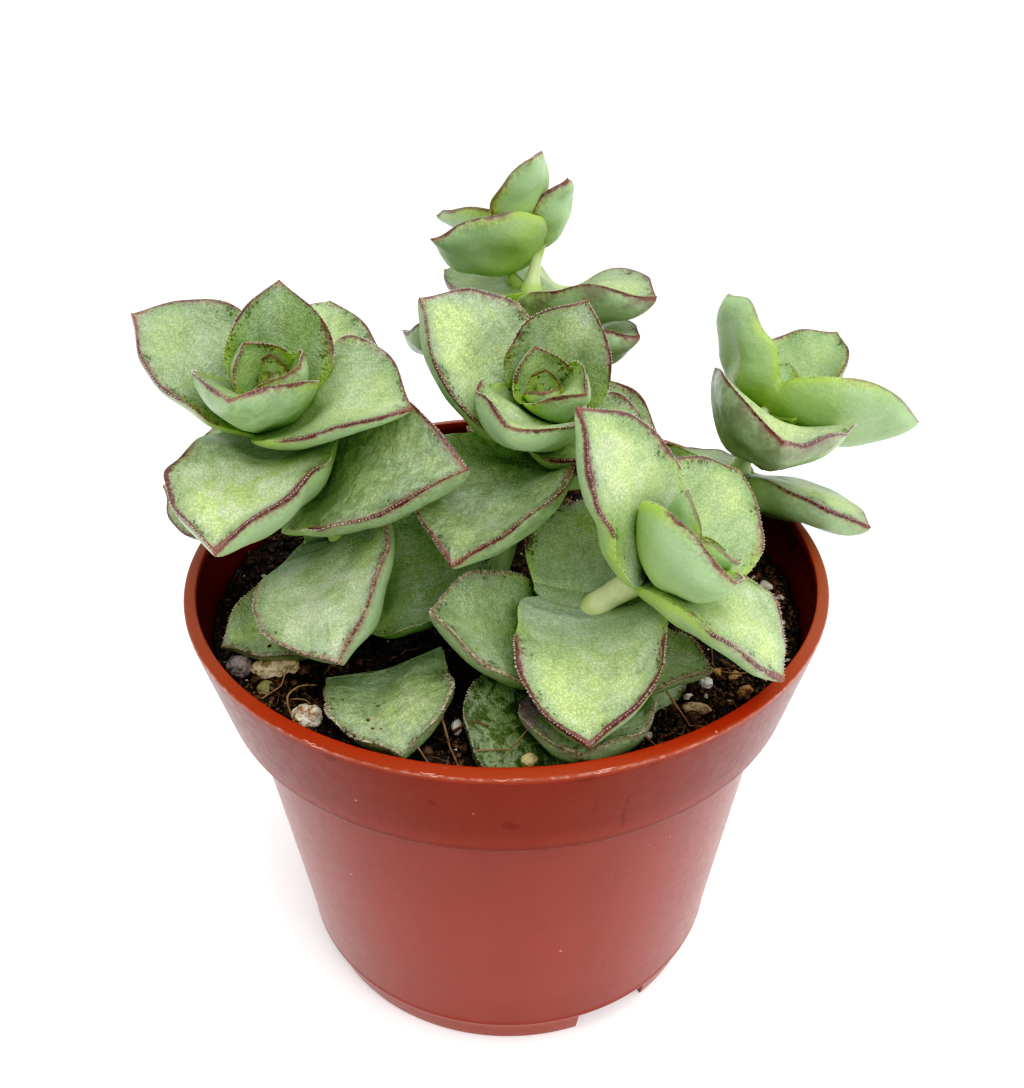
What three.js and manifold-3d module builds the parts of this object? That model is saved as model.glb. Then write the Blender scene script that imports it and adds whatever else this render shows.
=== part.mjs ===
// A string of buttons (a succulent with crossed pairs of fleshy leaves threaded on thin stems) in a plastic
// nursery pot full of peat. Millimetres, +Z up, the viewer's side at -Y.
//
// The plant and the pot are laid out about the pot's axis with the foot at z = 0. The finished group is then
// moved sideways so that the middle of its bounding box stands over the origin.
import * as THREE from 'three';
import { mergeVertices } from 'three/addons/utils/BufferGeometryUtils.js';
import Module from 'manifold-3d';

const wasm = await Module();
wasm.setup();

// ---------------------------------------------------------------- driving dimensions
const GAP = 0.3; // clearance between pieces that touch

const POT_SIDES = 40;
const RIM_RADIUS = 54;
const RIM_WIDTH = 2.1; // flat top of the lip
const RIM_HEIGHT = 79.1;
const RIM_SLOPE = 0.4; // the lip falls this much outwards
const COLLAR_FOOT_HEIGHT = 59.8; // underside of the collar
const COLLAR_FOOT_RADIUS = 49.6;
const BODY_TOP_RADIUS = 46.4;
const BODY_BOTTOM_RADIUS = 39;
const FOOT_HEIGHT = 5.9;
const FOOT_RADIUS = 37;
const WALL = 1.5;
const FLOOR_THICKNESS = 1.4;
const NOTCH_ANGLES = [-60, -159, 21, 120]; // middle of each gap in the foot ring, degrees
const NOTCH_WIDTH = 14.2;
const DRAIN_RADIUS = 4.5;
const DRAIN_RING_RADIUS = 24;

const SOIL_LEVEL = 70;
const SOIL_RINGS = [45.5, 39, 32, 25, 17, 9];
const SEAT_CLEARANCE = GAP + 0.1;
const LARGEST_CRUMB = 20; // loose peat up to this many cubic millimetres is dropped where seats cut it off
const GRAIN_SEED = 11;

const STEM_RADIUS = 1.5;
const STEM_SIDES = 8;
const STEM_STEP = 4.5; // length of one straight stretch of a stem
const STEM_ROOT_HEIGHT = 62; // where the buried stem ends

// A leaf's outline: half width over its length, from a clasping base to a blunt point
const LEAF_WIDEST = 0.4; // share of the length at which the leaf is widest
const LEAF_BASE_SHARE = 0.55; // width at the stem over the full width
const LEAF_POINT_POWER = 1.9;
const LEAF_FULLNESS = 0.26; // thickness in the middle over the full width
const LONG_LEAF = 14; // leaves longer than this get the finer grid
const LEAF_GRID = { long: [6, 4], short: [4, 4] }; // cells along and across

// ---------------------------------------------------------------- the plant, stem by stem
// A stem is a curve of points. Its leaves stand in pairs, each pair about a quarter turn from the last. A
// pair is the point on the stem where it sits, then its leaves. A leaf is [turn, rise, length, width, arch,
// cup, roll, base share, fullness]: turn is its heading about the stem's axis, rise its angle above the plane
// across the axis, arch and cup how far it bows along and across as shares of length and width, and roll its
// twist about its own midrib. Degrees and millimetres.
const STEMS = {
  left_stem: {
    axis: [0, -0.42, 0.9],
    path: [
      [-24, -9, STEM_ROOT_HEIGHT], [-24.5, -8.5, 72], [-25, -9, 77], [-27, -4, 86], [-31, -1.5, 95],
      [-34.5, -1, 102], [-35.5, -2, 107], [-36, -3, 110.5], [-36.5, -4, 113], [-37, -5, 115.5],
    ],
    pairs: [
      [[-25, -9, 77], [-155, 5, 23, 17.5, 0, 0.25, 10], [4, 24, 25, 22, 0.03, 0.27, 0]],
      [[-27, -3.5, 86], [-85, 20, 31, 26, 0.08, 0.25, 30], [95, 0, 25, 20, 0, 0.25, 0]],
      [[-31.5, -0.5, 96], [-25, 32, 33.5, 25, 0.16, 0.28, 17], [170, -21, 30, 26, 0, 0.25, -5]],
      [[-35, -1, 102], [-102, 23, 31, 24, 0.08, 0.18, 8], [80, 5, 29, 25, 0.02, 0.25, 0]],
      [[-35.5, -2, 107], [156, 29, 27, 20.5, 0.03, 0.3, 3], [-21, 28, 27, 23.5, 0.03, 0.4, -6]],
      [[-36, -3, 110.5], [77, 53, 18.5, 16.3, 0.03, 0.4, 31], [-98, 52, 21.5, 18, -0.01, 0.38, 1]],
      [[-36.5, -4, 112.5], [150, 78, 10, 11, -0.03, 0.45, -15], [-33, 52, 13, 11, -0.06, 0.45, -5]],
      [[-36.7, -4.5, 113.5], [70, 75, 6.5, 6, -0.06, 0.5, 0], [-110, 60, 6, 6, -0.05, 0.5, 0]],
    ],
  },
  centre_stem: {
    axis: [0, -0.35, 0.93],
    path: [
      [-3.5, -11, STEM_ROOT_HEIGHT], [-3, -10, 74], [0, -5, 84], [2.5, -1, 93], [4, 0, 100],
      [5, -1.5, 105], [5.5, -2.5, 108], [6, -3.5, 111], [6.2, -4.5, 114],
    ],
    pairs: [
      [[4, 0, 100], [-23, 29, 24, 21.5, 0.02, 0.25, 0], [-113, 12, 31, 26, 0.07, 0.33, 12]],
      [[5, -1.5, 105], [153, 45, 27.3, 22.2, 0, 0.24, 0], [-33, 16, 21, 18, 0, 0.25, -5]],
      [[5.5, -2.5, 108], [47, 57, 19.2, 16.4, 0.02, 0.33, 28], [-107, 39, 21, 17, -0.02, 0.38, -10]],
      [[6, -3.5, 110.5], [120, 75, 9.5, 10, -0.04, 0.45, -12], [-52, 45, 13, 10.5, -0.01, 0.5, 9]],
      [[6.2, -4, 111.5], [50, 75, 6.5, 6, -0.06, 0.5, 0], [-115, 60, 6, 6, -0.05, 0.5, 0]],
    ],
  },
  right_front_stem: {
    axis: [0.35, -0.45, 0.8],
    path: [
      [12, -25, STEM_ROOT_HEIGHT], [12, -25, 71], [11, -24.5, 78], [13.5, -22, 84], [21.5, -24, 91.5],
      [24, -24, 93.6], [25.8, -24, 95], [28, -24.5, 97.5],
    ],
    pairs: [
      [[9, -26, 70.8], [-124, 11, 24, 24, 0, 0.23, 12], [60, -10, 14, 12, 0, 0.2, 0]],
      [[13, -26, 72.5], [-115, 36, 22.5, 20.4, -0.04, 0.15, 35], [14, 4, 19, 15, 0, 0.2, 0]],
      [[10.5, -24.5, 78], [178, 9, 25, 20.5, -0.01, 0.2, 14], [-15, 32, 21.5, 15.5, -0.04, 0.15, -20]],
      [[13.7, -22, 84], [85, -8, 23, 22, 0.02, 0.2, -18, 0.8], [-102, 17, 28, 22, 0.05, 0.4, 30, 0.8]],
      [[21.5, -24, 91.5], [140, 35, 29, 20, 0.11, 0.17, 5], [-46, 14, 25, 19.5, 0.19, 0.05, -19]],
      [[24, -24, 93.7], [50, 20, 19, 18, -0.04, 0.25, 12], [-100, 56, 24.5, 19, 0, 0.45, -14]],
      [[25.8, -24, 95], [150, 62, 13, 10, 0, 0.45, -30], [-77, 60, 15, 12, -0.03, 0.4, -15]],
      [[26.8, -24, 96], [60, 60, 8, 7, -0.06, 0.5, 0], [-120, 60, 7, 6, -0.05, 0.5, 0]],
    ],
  },
  back_stem: {
    axis: [0, 0.45, 0.9],
    path: [
      [4, 24, STEM_ROOT_HEIGHT], [4, 26, 84], [4, 29, 104], [4, 30, 110], [4.6, 31, 115], [6, 33, 122.5],
      [6.4, 34, 125], [6.8, 35.5, 127],
    ],
    pairs: [
      [[4, 26.6, 88], [60, 4, 19, 15.5, 0.03, 0.25, 0], [-120, 2, 17, 14, 0.03, 0.25, 0]],
      [[4, 27.6, 96], [138, 0, 18, 15, 0.04, 0.25, 0], [-30, 0, 20, 16, 0.04, 0.25, 0]],
      [[4, 29, 104.5], [-39, 5, 24, 19, 0, 0.25, 10], [141, 5, 20, 16, 0, 0.25, 0]],
      [[4, 30, 110], [-39, 6, 27, 22, 0.07, 0.28, 15], [149, -5, 27, 22, 0, 0.22, -8]],
      [[4.6, 31, 115], [150, 16, 19, 15, -0.05, 0.1, -20], [75, 8, 22, 18, 0.04, 0.33, 30]],
      [[6, 33, 122.5], [-156, 1, 21, 16.6, -0.07, 0.1, 32], [-70, 40, 14.5, 11.5, 0.02, 0.3, 30]],
      [[6.3, 34, 125], [-93, 30, 17.5, 13.5, 0.08, 0.36, 53], [157, 12, 20.5, 15, 0, 0.27, -5]],
      [[6.8, 35.5, 126], [50, 60, 6, 5, -0.05, 0.45, 0], [-150, 65, 6, 5, -0.05, 0.45, 0]],
    ],
  },
  right_stem: {
    axis: [0.35, 0.35, 0.87],
    path: [
      [36, 20, STEM_ROOT_HEIGHT], [38, 19, 76], [41.7, 18, 84.7], [45, 21, 93.3], [47.6, 23, 97.2],
      [48.6, 24.3, 99],
    ],
    pairs: [
      [[41.7, 18, 84.7], [-40, 1, 27, 18.5, 0.09, 0, 6, 0.55, 0.36], [132, -8, 23.5, 19, 0.04, 0.24, -5]],
      [[45, 21, 93.3], [38, 62, 23.5, 18.5, 0.02, 0.28, 6], [-93, -2, 30, 25, 0.08, 0.35, -3, 0.55, 0.32]],
      [[47.6, 23, 97.2], [157, 46, 21.5, 19, -0.04, 0.1, 35], [-12, 13, 25.6, 21.8, -0.01, 0.07, -30]],
      [[48.5, 24.2, 98], [75, 60, 7, 6, -0.05, 0.45, 0]],
    ],
  },
  low_shoot: {
    axis: [0, 0, 1],
    path: [[-18.5, -21.5, STEM_ROOT_HEIGHT], [-19, -21.5, 69], [-19.2, -21.5, 72.5]],
    pairs: [[[-19.1, -22.3, 72.5], [-79, 3, 21.5, 19.5, 0.06, 0.16, 10, 0.97]]],
  },
};

// Grains of perlite and bark half sunk in the peat: [x, y, height of the middle, width, depth, height, turn]
const GRAINS = {
  perlite_grey: [-43, -19.6, 71.2, 4.6, 4.4, 4.4, 0],
  perlite_beige: [-37.4, -19, 70.6, 6.6, 3.6, 3.2, 12],
  perlite_green: [-38, -24.6, 70.7, 3.1, 3, 2.6, 30],
  perlite_cream: [-30.5, -31.9, 71, 4.8, 4.2, 4, 0],
  perlite_left: [-7.5, -34.2, 70.7, 1.9, 3.2, 2.2, 0],
  perlite_front: [3.3, -41.4, 70.6, 2.6, 2.4, 2, 0],
  bark_right: [29.2, -30, 70.6, 5, 2.4, 2, -10],
  perlite_right: [31.5, -24, 70.7, 2.4, 2.2, 2, 0],
  bark_far_right: [37.4, -26.2, 70.7, 3.1, 2.4, 2, 40],
};

const COLOURS = {
  pot: 0xa8584a,
  soil: 0x2b211b,
  left_stem: 0xa3b877,
  centre_stem: 0x9db274,
  right_front_stem: 0xaabd7c,
  back_stem: 0x93a978,
  right_stem: 0x9eb57a,
  low_shoot: 0x8fa377,
  perlite_grey: 0x9a938f,
  perlite_beige: 0xcdbb94,
  perlite_green: 0x9c9a62,
  perlite_cream: 0xddd0b2,
  perlite_left: 0xd9d6c8,
  perlite_front: 0xc9bb85,
  bark_right: 0xb59a78,
  perlite_right: 0xdedad0,
  bark_far_right: 0x9c7b5a,
};

// ---------------------------------------------------------------- helpers
function vector([x, y, z]) {
  return new THREE.Vector3(x, y, z);
}

function radians(degrees) {
  return THREE.MathUtils.degToRad(degrees);
}

// Small repeatable pseudo-random numbers in 0..1
function seededRandom(seed) {
  let state = seed;
  return () => {
    state = (state * 1664525 + 1013904223) % 4294967296;
    return state / 4294967296;
  };
}

// The same surface with its shared vertices merged and its collapsed triangles left out
function weld(geometry) {
  const bare = geometry.clone();
  bare.deleteAttribute('normal');
  bare.deleteAttribute('uv');
  const merged = mergeVertices(bare);
  const corners = merged.index.array;
  const faces = [];
  for (let i = 0; i < corners.length; i += 3) {
    const [a, b, c] = [corners[i], corners[i + 1], corners[i + 2]];
    if (a !== b && b !== c && c !== a) faces.push(a, b, c);
  }
  merged.setIndex(faces);
  return merged;
}

function toSolid(geometry) {
  const welded = weld(geometry);
  return new wasm.Manifold(new wasm.Mesh({
    numProp: 3,
    vertProperties: welded.attributes.position.array,
    triVerts: new Uint32Array(welded.index.array),
  }));
}

function toGeometry(solid) {
  const mesh = solid.getMesh();
  const geometry = new THREE.BufferGeometry();
  geometry.setAttribute('position', new THREE.BufferAttribute(mesh.vertProperties, 3));
  geometry.setIndex(new THREE.BufferAttribute(mesh.triVerts, 1));
  geometry.computeVertexNormals();
  return geometry;
}

// The main body of a solid: hollows sealed inside it are filled, and crumbs cut loose from it are dropped
function mainBody(solid, largestCrumb) {
  const shells = solid.decompose().sort((one, other) => other.volume() - one.volume());
  if (shells.length > 1 && shells[1].volume() > largestCrumb) {
    throw new Error(`a loose body of ${shells[1].volume().toFixed(1)} mm3 at ${shells[1].boundingBox().min}`);
  }
  return shells[0];
}

// A profile of [radius, height] points turned about Z
function turned(profile, sides) {
  const points = profile.map(([radius, height]) => new THREE.Vector2(radius, height));
  return new THREE.LatheGeometry(points, sides).rotateX(Math.PI / 2);
}

// ---------------------------------------------------------------- pot
const FLOOR_TOP = FOOT_HEIGHT - 0.1 + FLOOR_THICKNESS;
const LEDGE_HEIGHT = COLLAR_FOOT_HEIGHT + 0.6; // inner step where the collar widens
const RIM_INNER_RADIUS = RIM_RADIUS - RIM_WIDTH;
const COLLAR_INNER_FOOT = [COLLAR_FOOT_RADIUS - WALL + 0.25, LEDGE_HEIGHT + 0.5];
const COLLAR_INNER_TOP = [RIM_INNER_RADIUS, RIM_HEIGHT - 2.5];

function innerBodyRadius(height) {
  const share = (height - FOOT_HEIGHT) / (COLLAR_FOOT_HEIGHT - FOOT_HEIGHT);
  return BODY_BOTTOM_RADIUS + share * (BODY_TOP_RADIUS - BODY_BOTTOM_RADIUS) - WALL;
}

function innerCollarRadius(height) {
  const [lowRadius, lowHeight] = COLLAR_INNER_FOOT;
  const [highRadius, highHeight] = COLLAR_INNER_TOP;
  return lowRadius + ((height - lowHeight) / (highHeight - lowHeight)) * (highRadius - lowRadius);
}

function potGeometry() {
  const wall = turned([
    [0, FOOT_HEIGHT - 0.1],
    [FOOT_RADIUS - WALL + 0.4, FOOT_HEIGHT - 0.1],
    [FOOT_RADIUS - WALL, 0],
    [FOOT_RADIUS, 0],
    [BODY_BOTTOM_RADIUS - 0.7, FOOT_HEIGHT - 0.6],
    [BODY_BOTTOM_RADIUS, FOOT_HEIGHT],
    [BODY_TOP_RADIUS, COLLAR_FOOT_HEIGHT],
    [COLLAR_FOOT_RADIUS - 0.3, COLLAR_FOOT_HEIGHT],
    [COLLAR_FOOT_RADIUS, COLLAR_FOOT_HEIGHT + 0.4],
    [RIM_RADIUS - 0.1, RIM_HEIGHT - RIM_SLOPE - 0.8],
    [RIM_RADIUS, RIM_HEIGHT - RIM_SLOPE],
    [RIM_INNER_RADIUS, RIM_HEIGHT],
    COLLAR_INNER_TOP,
    COLLAR_INNER_FOOT,
    [innerBodyRadius(LEDGE_HEIGHT), LEDGE_HEIGHT],
    [innerBodyRadius(FLOOR_TOP + 0.3), FLOOR_TOP + 0.3],
    [innerBodyRadius(FLOOR_TOP) - 0.4, FLOOR_TOP],
    [0, FLOOR_TOP],
  ], POT_SIDES);
  let pot = toSolid(wall);
  for (const angle of NOTCH_ANGLES) {
    const notch = new THREE.BoxGeometry(8, NOTCH_WIDTH, FOOT_HEIGHT);
    notch.translate(FOOT_RADIUS, 0, FOOT_HEIGHT / 2 - 0.3);
    notch.rotateZ(radians(angle));
    pot = pot.subtract(toSolid(notch));
  }
  const drains = [[0, 0], ...NOTCH_ANGLES.map((angle) => [
    DRAIN_RING_RADIUS * Math.cos(radians(angle)),
    DRAIN_RING_RADIUS * Math.sin(radians(angle)),
  ])];
  for (const [x, y] of drains) {
    const hole = new THREE.CylinderGeometry(DRAIN_RADIUS, DRAIN_RADIUS, 3 * FLOOR_THICKNESS, 12);
    hole.rotateX(Math.PI / 2).translate(x, y, FLOOR_TOP - FLOOR_THICKNESS / 2);
    pot = pot.subtract(toSolid(hole));
  }
  return toGeometry(pot);
}

// ---------------------------------------------------------------- leaves and stems
function halfWidthShare(along, baseShare) {
  if (along < LEAF_WIDEST) {
    return baseShare + (1 - baseShare) * Math.sin((Math.PI / 2) * (along / LEAF_WIDEST));
  }
  return 1 - ((along - LEAF_WIDEST) / (1 - LEAF_WIDEST)) ** LEAF_POINT_POWER;
}

// Share of the full thickness, thickest near the stem's third and nothing at the margins and the tip
function thicknessShare(along, across) {
  const swell = 0.4 + 0.6 * Math.sin((Math.PI / 2) * Math.min(along / 0.35, 1));
  const towardsTip = Math.max(0, 1 - along ** 2.6) ** 0.6;
  const towardsMargin = Math.max(0, 1 - Math.abs(across) ** 2.2) ** 0.55;
  return swell * towardsTip * towardsMargin;
}

// Directions of a leaf: out along its midrib, sideways, and up out of its upper face
function leafFrame(axis, turn, rise, roll) {
  const level = new THREE.Vector3(1, 0, 0).addScaledVector(axis, -axis.x).normalize();
  const across = new THREE.Vector3().crossVectors(axis, level);
  const heading = level.multiplyScalar(Math.cos(turn)).addScaledVector(across, Math.sin(turn));
  const out = heading.clone().multiplyScalar(Math.cos(rise)).addScaledVector(axis, Math.sin(rise));
  const upright = heading.multiplyScalar(-Math.sin(rise)).addScaledVector(axis, Math.cos(rise));
  const sideways = new THREE.Vector3().crossVectors(out, upright);
  const up = upright.multiplyScalar(Math.cos(roll)).addScaledVector(sideways, Math.sin(roll));
  const side = new THREE.Vector3().crossVectors(out, up);
  return { out, side, up };
}

// A closed leaf: two grids alike, the upper face and the belly, that meet at the margins and at the tip.
// swell makes it that much larger on every side, for the seat that it presses into the peat.
function leafGeometry(at, axis, leaf, swell = 0) {
  const [turn, rise, length, width, arch, cup, roll, ...shares] = leaf;
  const [baseShare = LEAF_BASE_SHARE, fullness = LEAF_FULLNESS] = shares;
  const { out, side, up } = leafFrame(axis, radians(turn), radians(rise), radians(roll));
  const [rows, columns] = length > LONG_LEAF ? LEAF_GRID.long : LEAF_GRID.short;
  const positions = [];
  for (const isBelly of [false, true]) {
    for (let row = 0; row <= rows; row += 1) {
      const along = 1 - (1 - row / rows) ** 1.15;
      const halfWidth = (width / 2) * halfWidthShare(along, baseShare) + swell;
      for (let column = 0; column <= columns; column += 1) {
        const across = Math.sin((column / columns - 0.5) * Math.PI);
        const depth = isBelly ? fullness * width * thicknessShare(along, across) + swell : -swell;
        const bow = 4 * length * arch * along * (1 - along) + cup * halfWidth * across ** 2;
        const point = vector(at)
          .addScaledVector(out, (length + 2 * swell) * along - swell)
          .addScaledVector(side, halfWidth * across)
          .addScaledVector(up, bow - depth);
        positions.push(point.x, point.y, point.z);
      }
    }
  }
  const across = columns + 1;
  const belly = (rows + 1) * across;
  const faces = [];
  const addWall = (from, to) => faces.push(from, belly + to, to, from, belly + from, belly + to);
  for (let row = 0; row < rows; row += 1) {
    for (let column = 0; column < columns; column += 1) {
      const a = row * across + column;
      const b = a + across;
      faces.push(a, b + 1, b, a, a + 1, b + 1);
      faces.push(belly + a, belly + b, belly + b + 1, belly + a, belly + b + 1, belly + a + 1);
    }
  }
  for (let column = 0; column < columns; column += 1) {
    addWall(column, column + 1);
    addWall(rows * across + column + 1, rows * across + column);
  }
  for (let row = 0; row < rows; row += 1) {
    addWall((row + 1) * across, row * across);
    addWall(row * across + columns, (row + 1) * across + columns);
  }
  const geometry = new THREE.BufferGeometry();
  geometry.setAttribute('position', new THREE.Float32BufferAttribute(positions, 3));
  geometry.setIndex(faces);
  return geometry;
}

function stemGeometry(path, swell = 0) {
  const points = path.map(vector);
  points[0].z -= swell;
  const curve = new THREE.CatmullRomCurve3(points, false, 'centripetal');
  const section = new THREE.Shape().absarc(0, 0, STEM_RADIUS + swell, 0, 2 * Math.PI);
  return new THREE.ExtrudeGeometry(section, {
    extrudePath: curve,
    steps: Math.ceil(curve.getLength() / STEM_STEP),
    curveSegments: STEM_SIDES / 2,
    bevelEnabled: false,
  });
}

// One leafy stem, fused
function leafyStem({ axis, path, pairs }, swell = 0) {
  const direction = vector(axis).normalize();
  let plant = toSolid(stemGeometry(path, swell));
  for (const [at, ...leaves] of pairs) {
    for (const leaf of leaves) plant = plant.add(toSolid(leafGeometry(at, direction, leaf, swell)));
  }
  return mainBody(plant, 0);
}

// ---------------------------------------------------------------- soil and grains
function grainGeometry([x, y, z, width, depth, height, turn], seed, swell = 0) {
  const random = seededRandom(seed);
  const grain = weld(new THREE.IcosahedronGeometry(1, 1));
  const { position } = grain.attributes;
  for (let i = 0; i < position.count; i += 1) {
    const dent = 0.84 + 0.16 * random();
    position.setXYZ(i, dent * position.getX(i), dent * position.getY(i), dent * position.getZ(i));
  }
  grain.scale(width / 2 + swell, depth / 2 + swell, height / 2 + swell).rotateZ(radians(turn));
  return grain.translate(x, y, z);
}

// Crumbs and hollows of the peat's surface, +-1 mm
function soilRelief(x, y) {
  return 0.45 * Math.sin(0.31 * x + 1.1) * Math.cos(0.27 * y) + 0.35 * Math.sin(0.83 * x + 0.64 * y)
    + 0.2 * Math.cos(1.3 * y - 0.9 * x);
}

// The peat, with a plain hole or seat for each piece that stands or lies in it
function soilGeometry(seats) {
  const edge = innerCollarRadius(SOIL_LEVEL) - GAP;
  const peat = turned([
    [0, FLOOR_TOP + GAP],
    [innerBodyRadius(FLOOR_TOP) - 0.4 - GAP, FLOOR_TOP + GAP],
    [innerBodyRadius(FLOOR_TOP + 0.8) - GAP - 0.1, FLOOR_TOP + 0.8],
    [innerBodyRadius(LEDGE_HEIGHT) - GAP, LEDGE_HEIGHT + GAP],
    [COLLAR_INNER_FOOT[0] - GAP, COLLAR_INNER_FOOT[1] + GAP],
    [edge, SOIL_LEVEL - 0.2],
    ...SOIL_RINGS.map((radius) => [radius, SOIL_LEVEL]),
    [0, SOIL_LEVEL],
  ], POT_SIDES);
  const { position } = peat.attributes;
  for (let i = 0; i < position.count; i += 1) {
    const [x, y, z] = [position.getX(i), position.getY(i), position.getZ(i)];
    if (z > SOIL_LEVEL - 0.1) position.setZ(i, z + soilRelief(x, y));
  }
  const filled = seats.reduce((soil, seat) => soil.subtract(seat), toSolid(peat));
  return toGeometry(mainBody(filled, LARGEST_CRUMB));
}

// ---------------------------------------------------------------- the assembly
function namedMesh(name, geometry, roughness) {
  const material = new THREE.MeshStandardMaterial({ color: COLOURS[name], roughness, metalness: 0 });
  const mesh = new THREE.Mesh(geometry, material);
  mesh.name = name;
  return mesh;
}

const pottedPlant = new THREE.Group();
const seats = [];

for (const [name, stem] of Object.entries(STEMS)) {
  seats.push(leafyStem(stem, SEAT_CLEARANCE));
  pottedPlant.add(namedMesh(name, toGeometry(leafyStem(stem)), 0.6));
}
for (const [index, [name, grain]] of Object.entries(GRAINS).entries()) {
  seats.push(toSolid(grainGeometry(grain, GRAIN_SEED + index, SEAT_CLEARANCE)));
  pottedPlant.add(namedMesh(name, grainGeometry(grain, GRAIN_SEED + index), 0.95));
}
pottedPlant.add(namedMesh('soil', soilGeometry(seats), 1));
pottedPlant.add(namedMesh('pot', potGeometry(), 0.4));

const middle = new THREE.Box3().setFromObject(pottedPlant).getCenter(new THREE.Vector3());
pottedPlant.position.set(-middle.x, -middle.y, 0);

export default pottedPlant;
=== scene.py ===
"""A string of buttons in a plastic nursery pot, dressed around its packed frame.

The pot, the peat, the grains and the six leafy stems are built in millimetres about the pot's axis, with the
pot's foot at height 0, and are set down in the frame when a piece is made.
"""
import math

import bmesh
import bpy
import numpy as np
from bpy.props import FloatProperty, FloatVectorProperty, IntProperty, PointerProperty
from mathutils import Matrix, Vector, noise
from mathutils.bvhtree import BVHTree


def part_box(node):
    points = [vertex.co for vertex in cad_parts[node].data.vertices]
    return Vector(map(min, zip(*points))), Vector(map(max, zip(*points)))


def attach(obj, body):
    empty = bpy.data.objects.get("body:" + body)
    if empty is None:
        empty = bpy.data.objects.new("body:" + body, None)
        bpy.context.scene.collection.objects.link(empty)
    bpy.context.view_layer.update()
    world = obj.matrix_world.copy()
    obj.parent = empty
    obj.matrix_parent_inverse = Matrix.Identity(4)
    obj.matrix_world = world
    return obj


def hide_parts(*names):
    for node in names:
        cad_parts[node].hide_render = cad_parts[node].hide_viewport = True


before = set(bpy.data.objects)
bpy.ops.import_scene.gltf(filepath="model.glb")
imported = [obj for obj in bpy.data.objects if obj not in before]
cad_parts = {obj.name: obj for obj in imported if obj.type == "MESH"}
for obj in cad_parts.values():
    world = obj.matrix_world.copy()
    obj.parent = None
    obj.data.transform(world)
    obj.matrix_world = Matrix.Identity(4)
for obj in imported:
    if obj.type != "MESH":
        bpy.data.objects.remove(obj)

bl_info = {
    "name": "Potted String of Buttons",
    "version": (1, 0, 0),
    "blender": (4, 5, 0),
    "location": "3D View > Sidebar > Potted Plant",
    "description": "Builds a string of buttons in a nursery pot over its engineering frame",
    "category": "Add Mesh",
}

MM = 0.001
FULL_TURN = 2 * math.pi
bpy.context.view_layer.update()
POT_LOW, POT_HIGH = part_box("pot")
POT_AXIS = (POT_LOW + POT_HIGH) / 2
POT_AXIS.z = POT_LOW.z

# ------------------------------------------------------------------ the pot's profile, as in the frame
COLLAR_FOOT_HEIGHT = 59.8
COLLAR_FOOT_RADIUS = 49.6
BODY_TOP_RADIUS = 46.4
BODY_BOTTOM_RADIUS = 39
FOOT_HEIGHT = 5.9
FOOT_RADIUS = 37
RIM_SLOPE = 0.4
FLOOR_THICKNESS = 1.4
NOTCH_ANGLES = (-60, -159, 21, 120)
NOTCH_WIDTH = 14.2
NOTCH_REACH = (32, 42)
DRAIN_RADIUS = 4.5
DRAIN_RING_RADIUS = 24
# From and to which height the notches and the drain holes are cut
NOTCH_CUT = (-1, FOOT_HEIGHT - 0.35)
DRAIN_CUT = (3, 9)
DRAIN_SEGMENTS = 32
POT_SEGMENTS = 240
CORNER_RADIUS = 0.38
LONGEST_STRETCH = 3.0
SHARP_EDGE = math.radians(40)
BURR_SEED = 3
BURR_RADIUS = 0.038
# Slivers of torn plastic on the lip: a length of the outer edge between two angles, how high they stand and
# how many there are
RIM_BURRS = (
    (-121, -116, 0.9, 2), (-105.5, -99.5, 0.3, 3), (-91.2, -87.6, 0.4, 2), (-79, -72.5, 0.3, 2),
    (-46, -42, 0.3, 1),
)

# ------------------------------------------------------------------ the plant, stem by stem, as in the frame
# A leaf is (turn, rise, length, width, arch, cup, roll, base share, fullness): turn is its heading about the
# stem's axis, rise its angle above the plane across the axis, arch and cup how far it bows along and across
# as shares of length and width, and roll its twist about its own midrib. Degrees and millimetres.
STEM_ROOT_HEIGHT = 62
BASE_SHARE = 0.55
FULLNESS = 0.26
# Rows of a leaf's mesh and points round it; the row where a pair's bases start to run together, the steps
# across, and the angle between two leaves beyond which they do
LARGE_LEAF_GRID = (44, 60)
SMALL_LEAF_GRID = (28, 44)
BASE_ROW = 4
JOIN_STEPS = np.array([0.12, 0.25, 0.36, 0.42, 0.46, 0.5, 0.54, 0.58, 0.64, 0.75, 0.88])
JOINED_ANGLE = 125
CREASE_WAIST = 0.16
CREASE_DEPTH = 0.7
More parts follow.
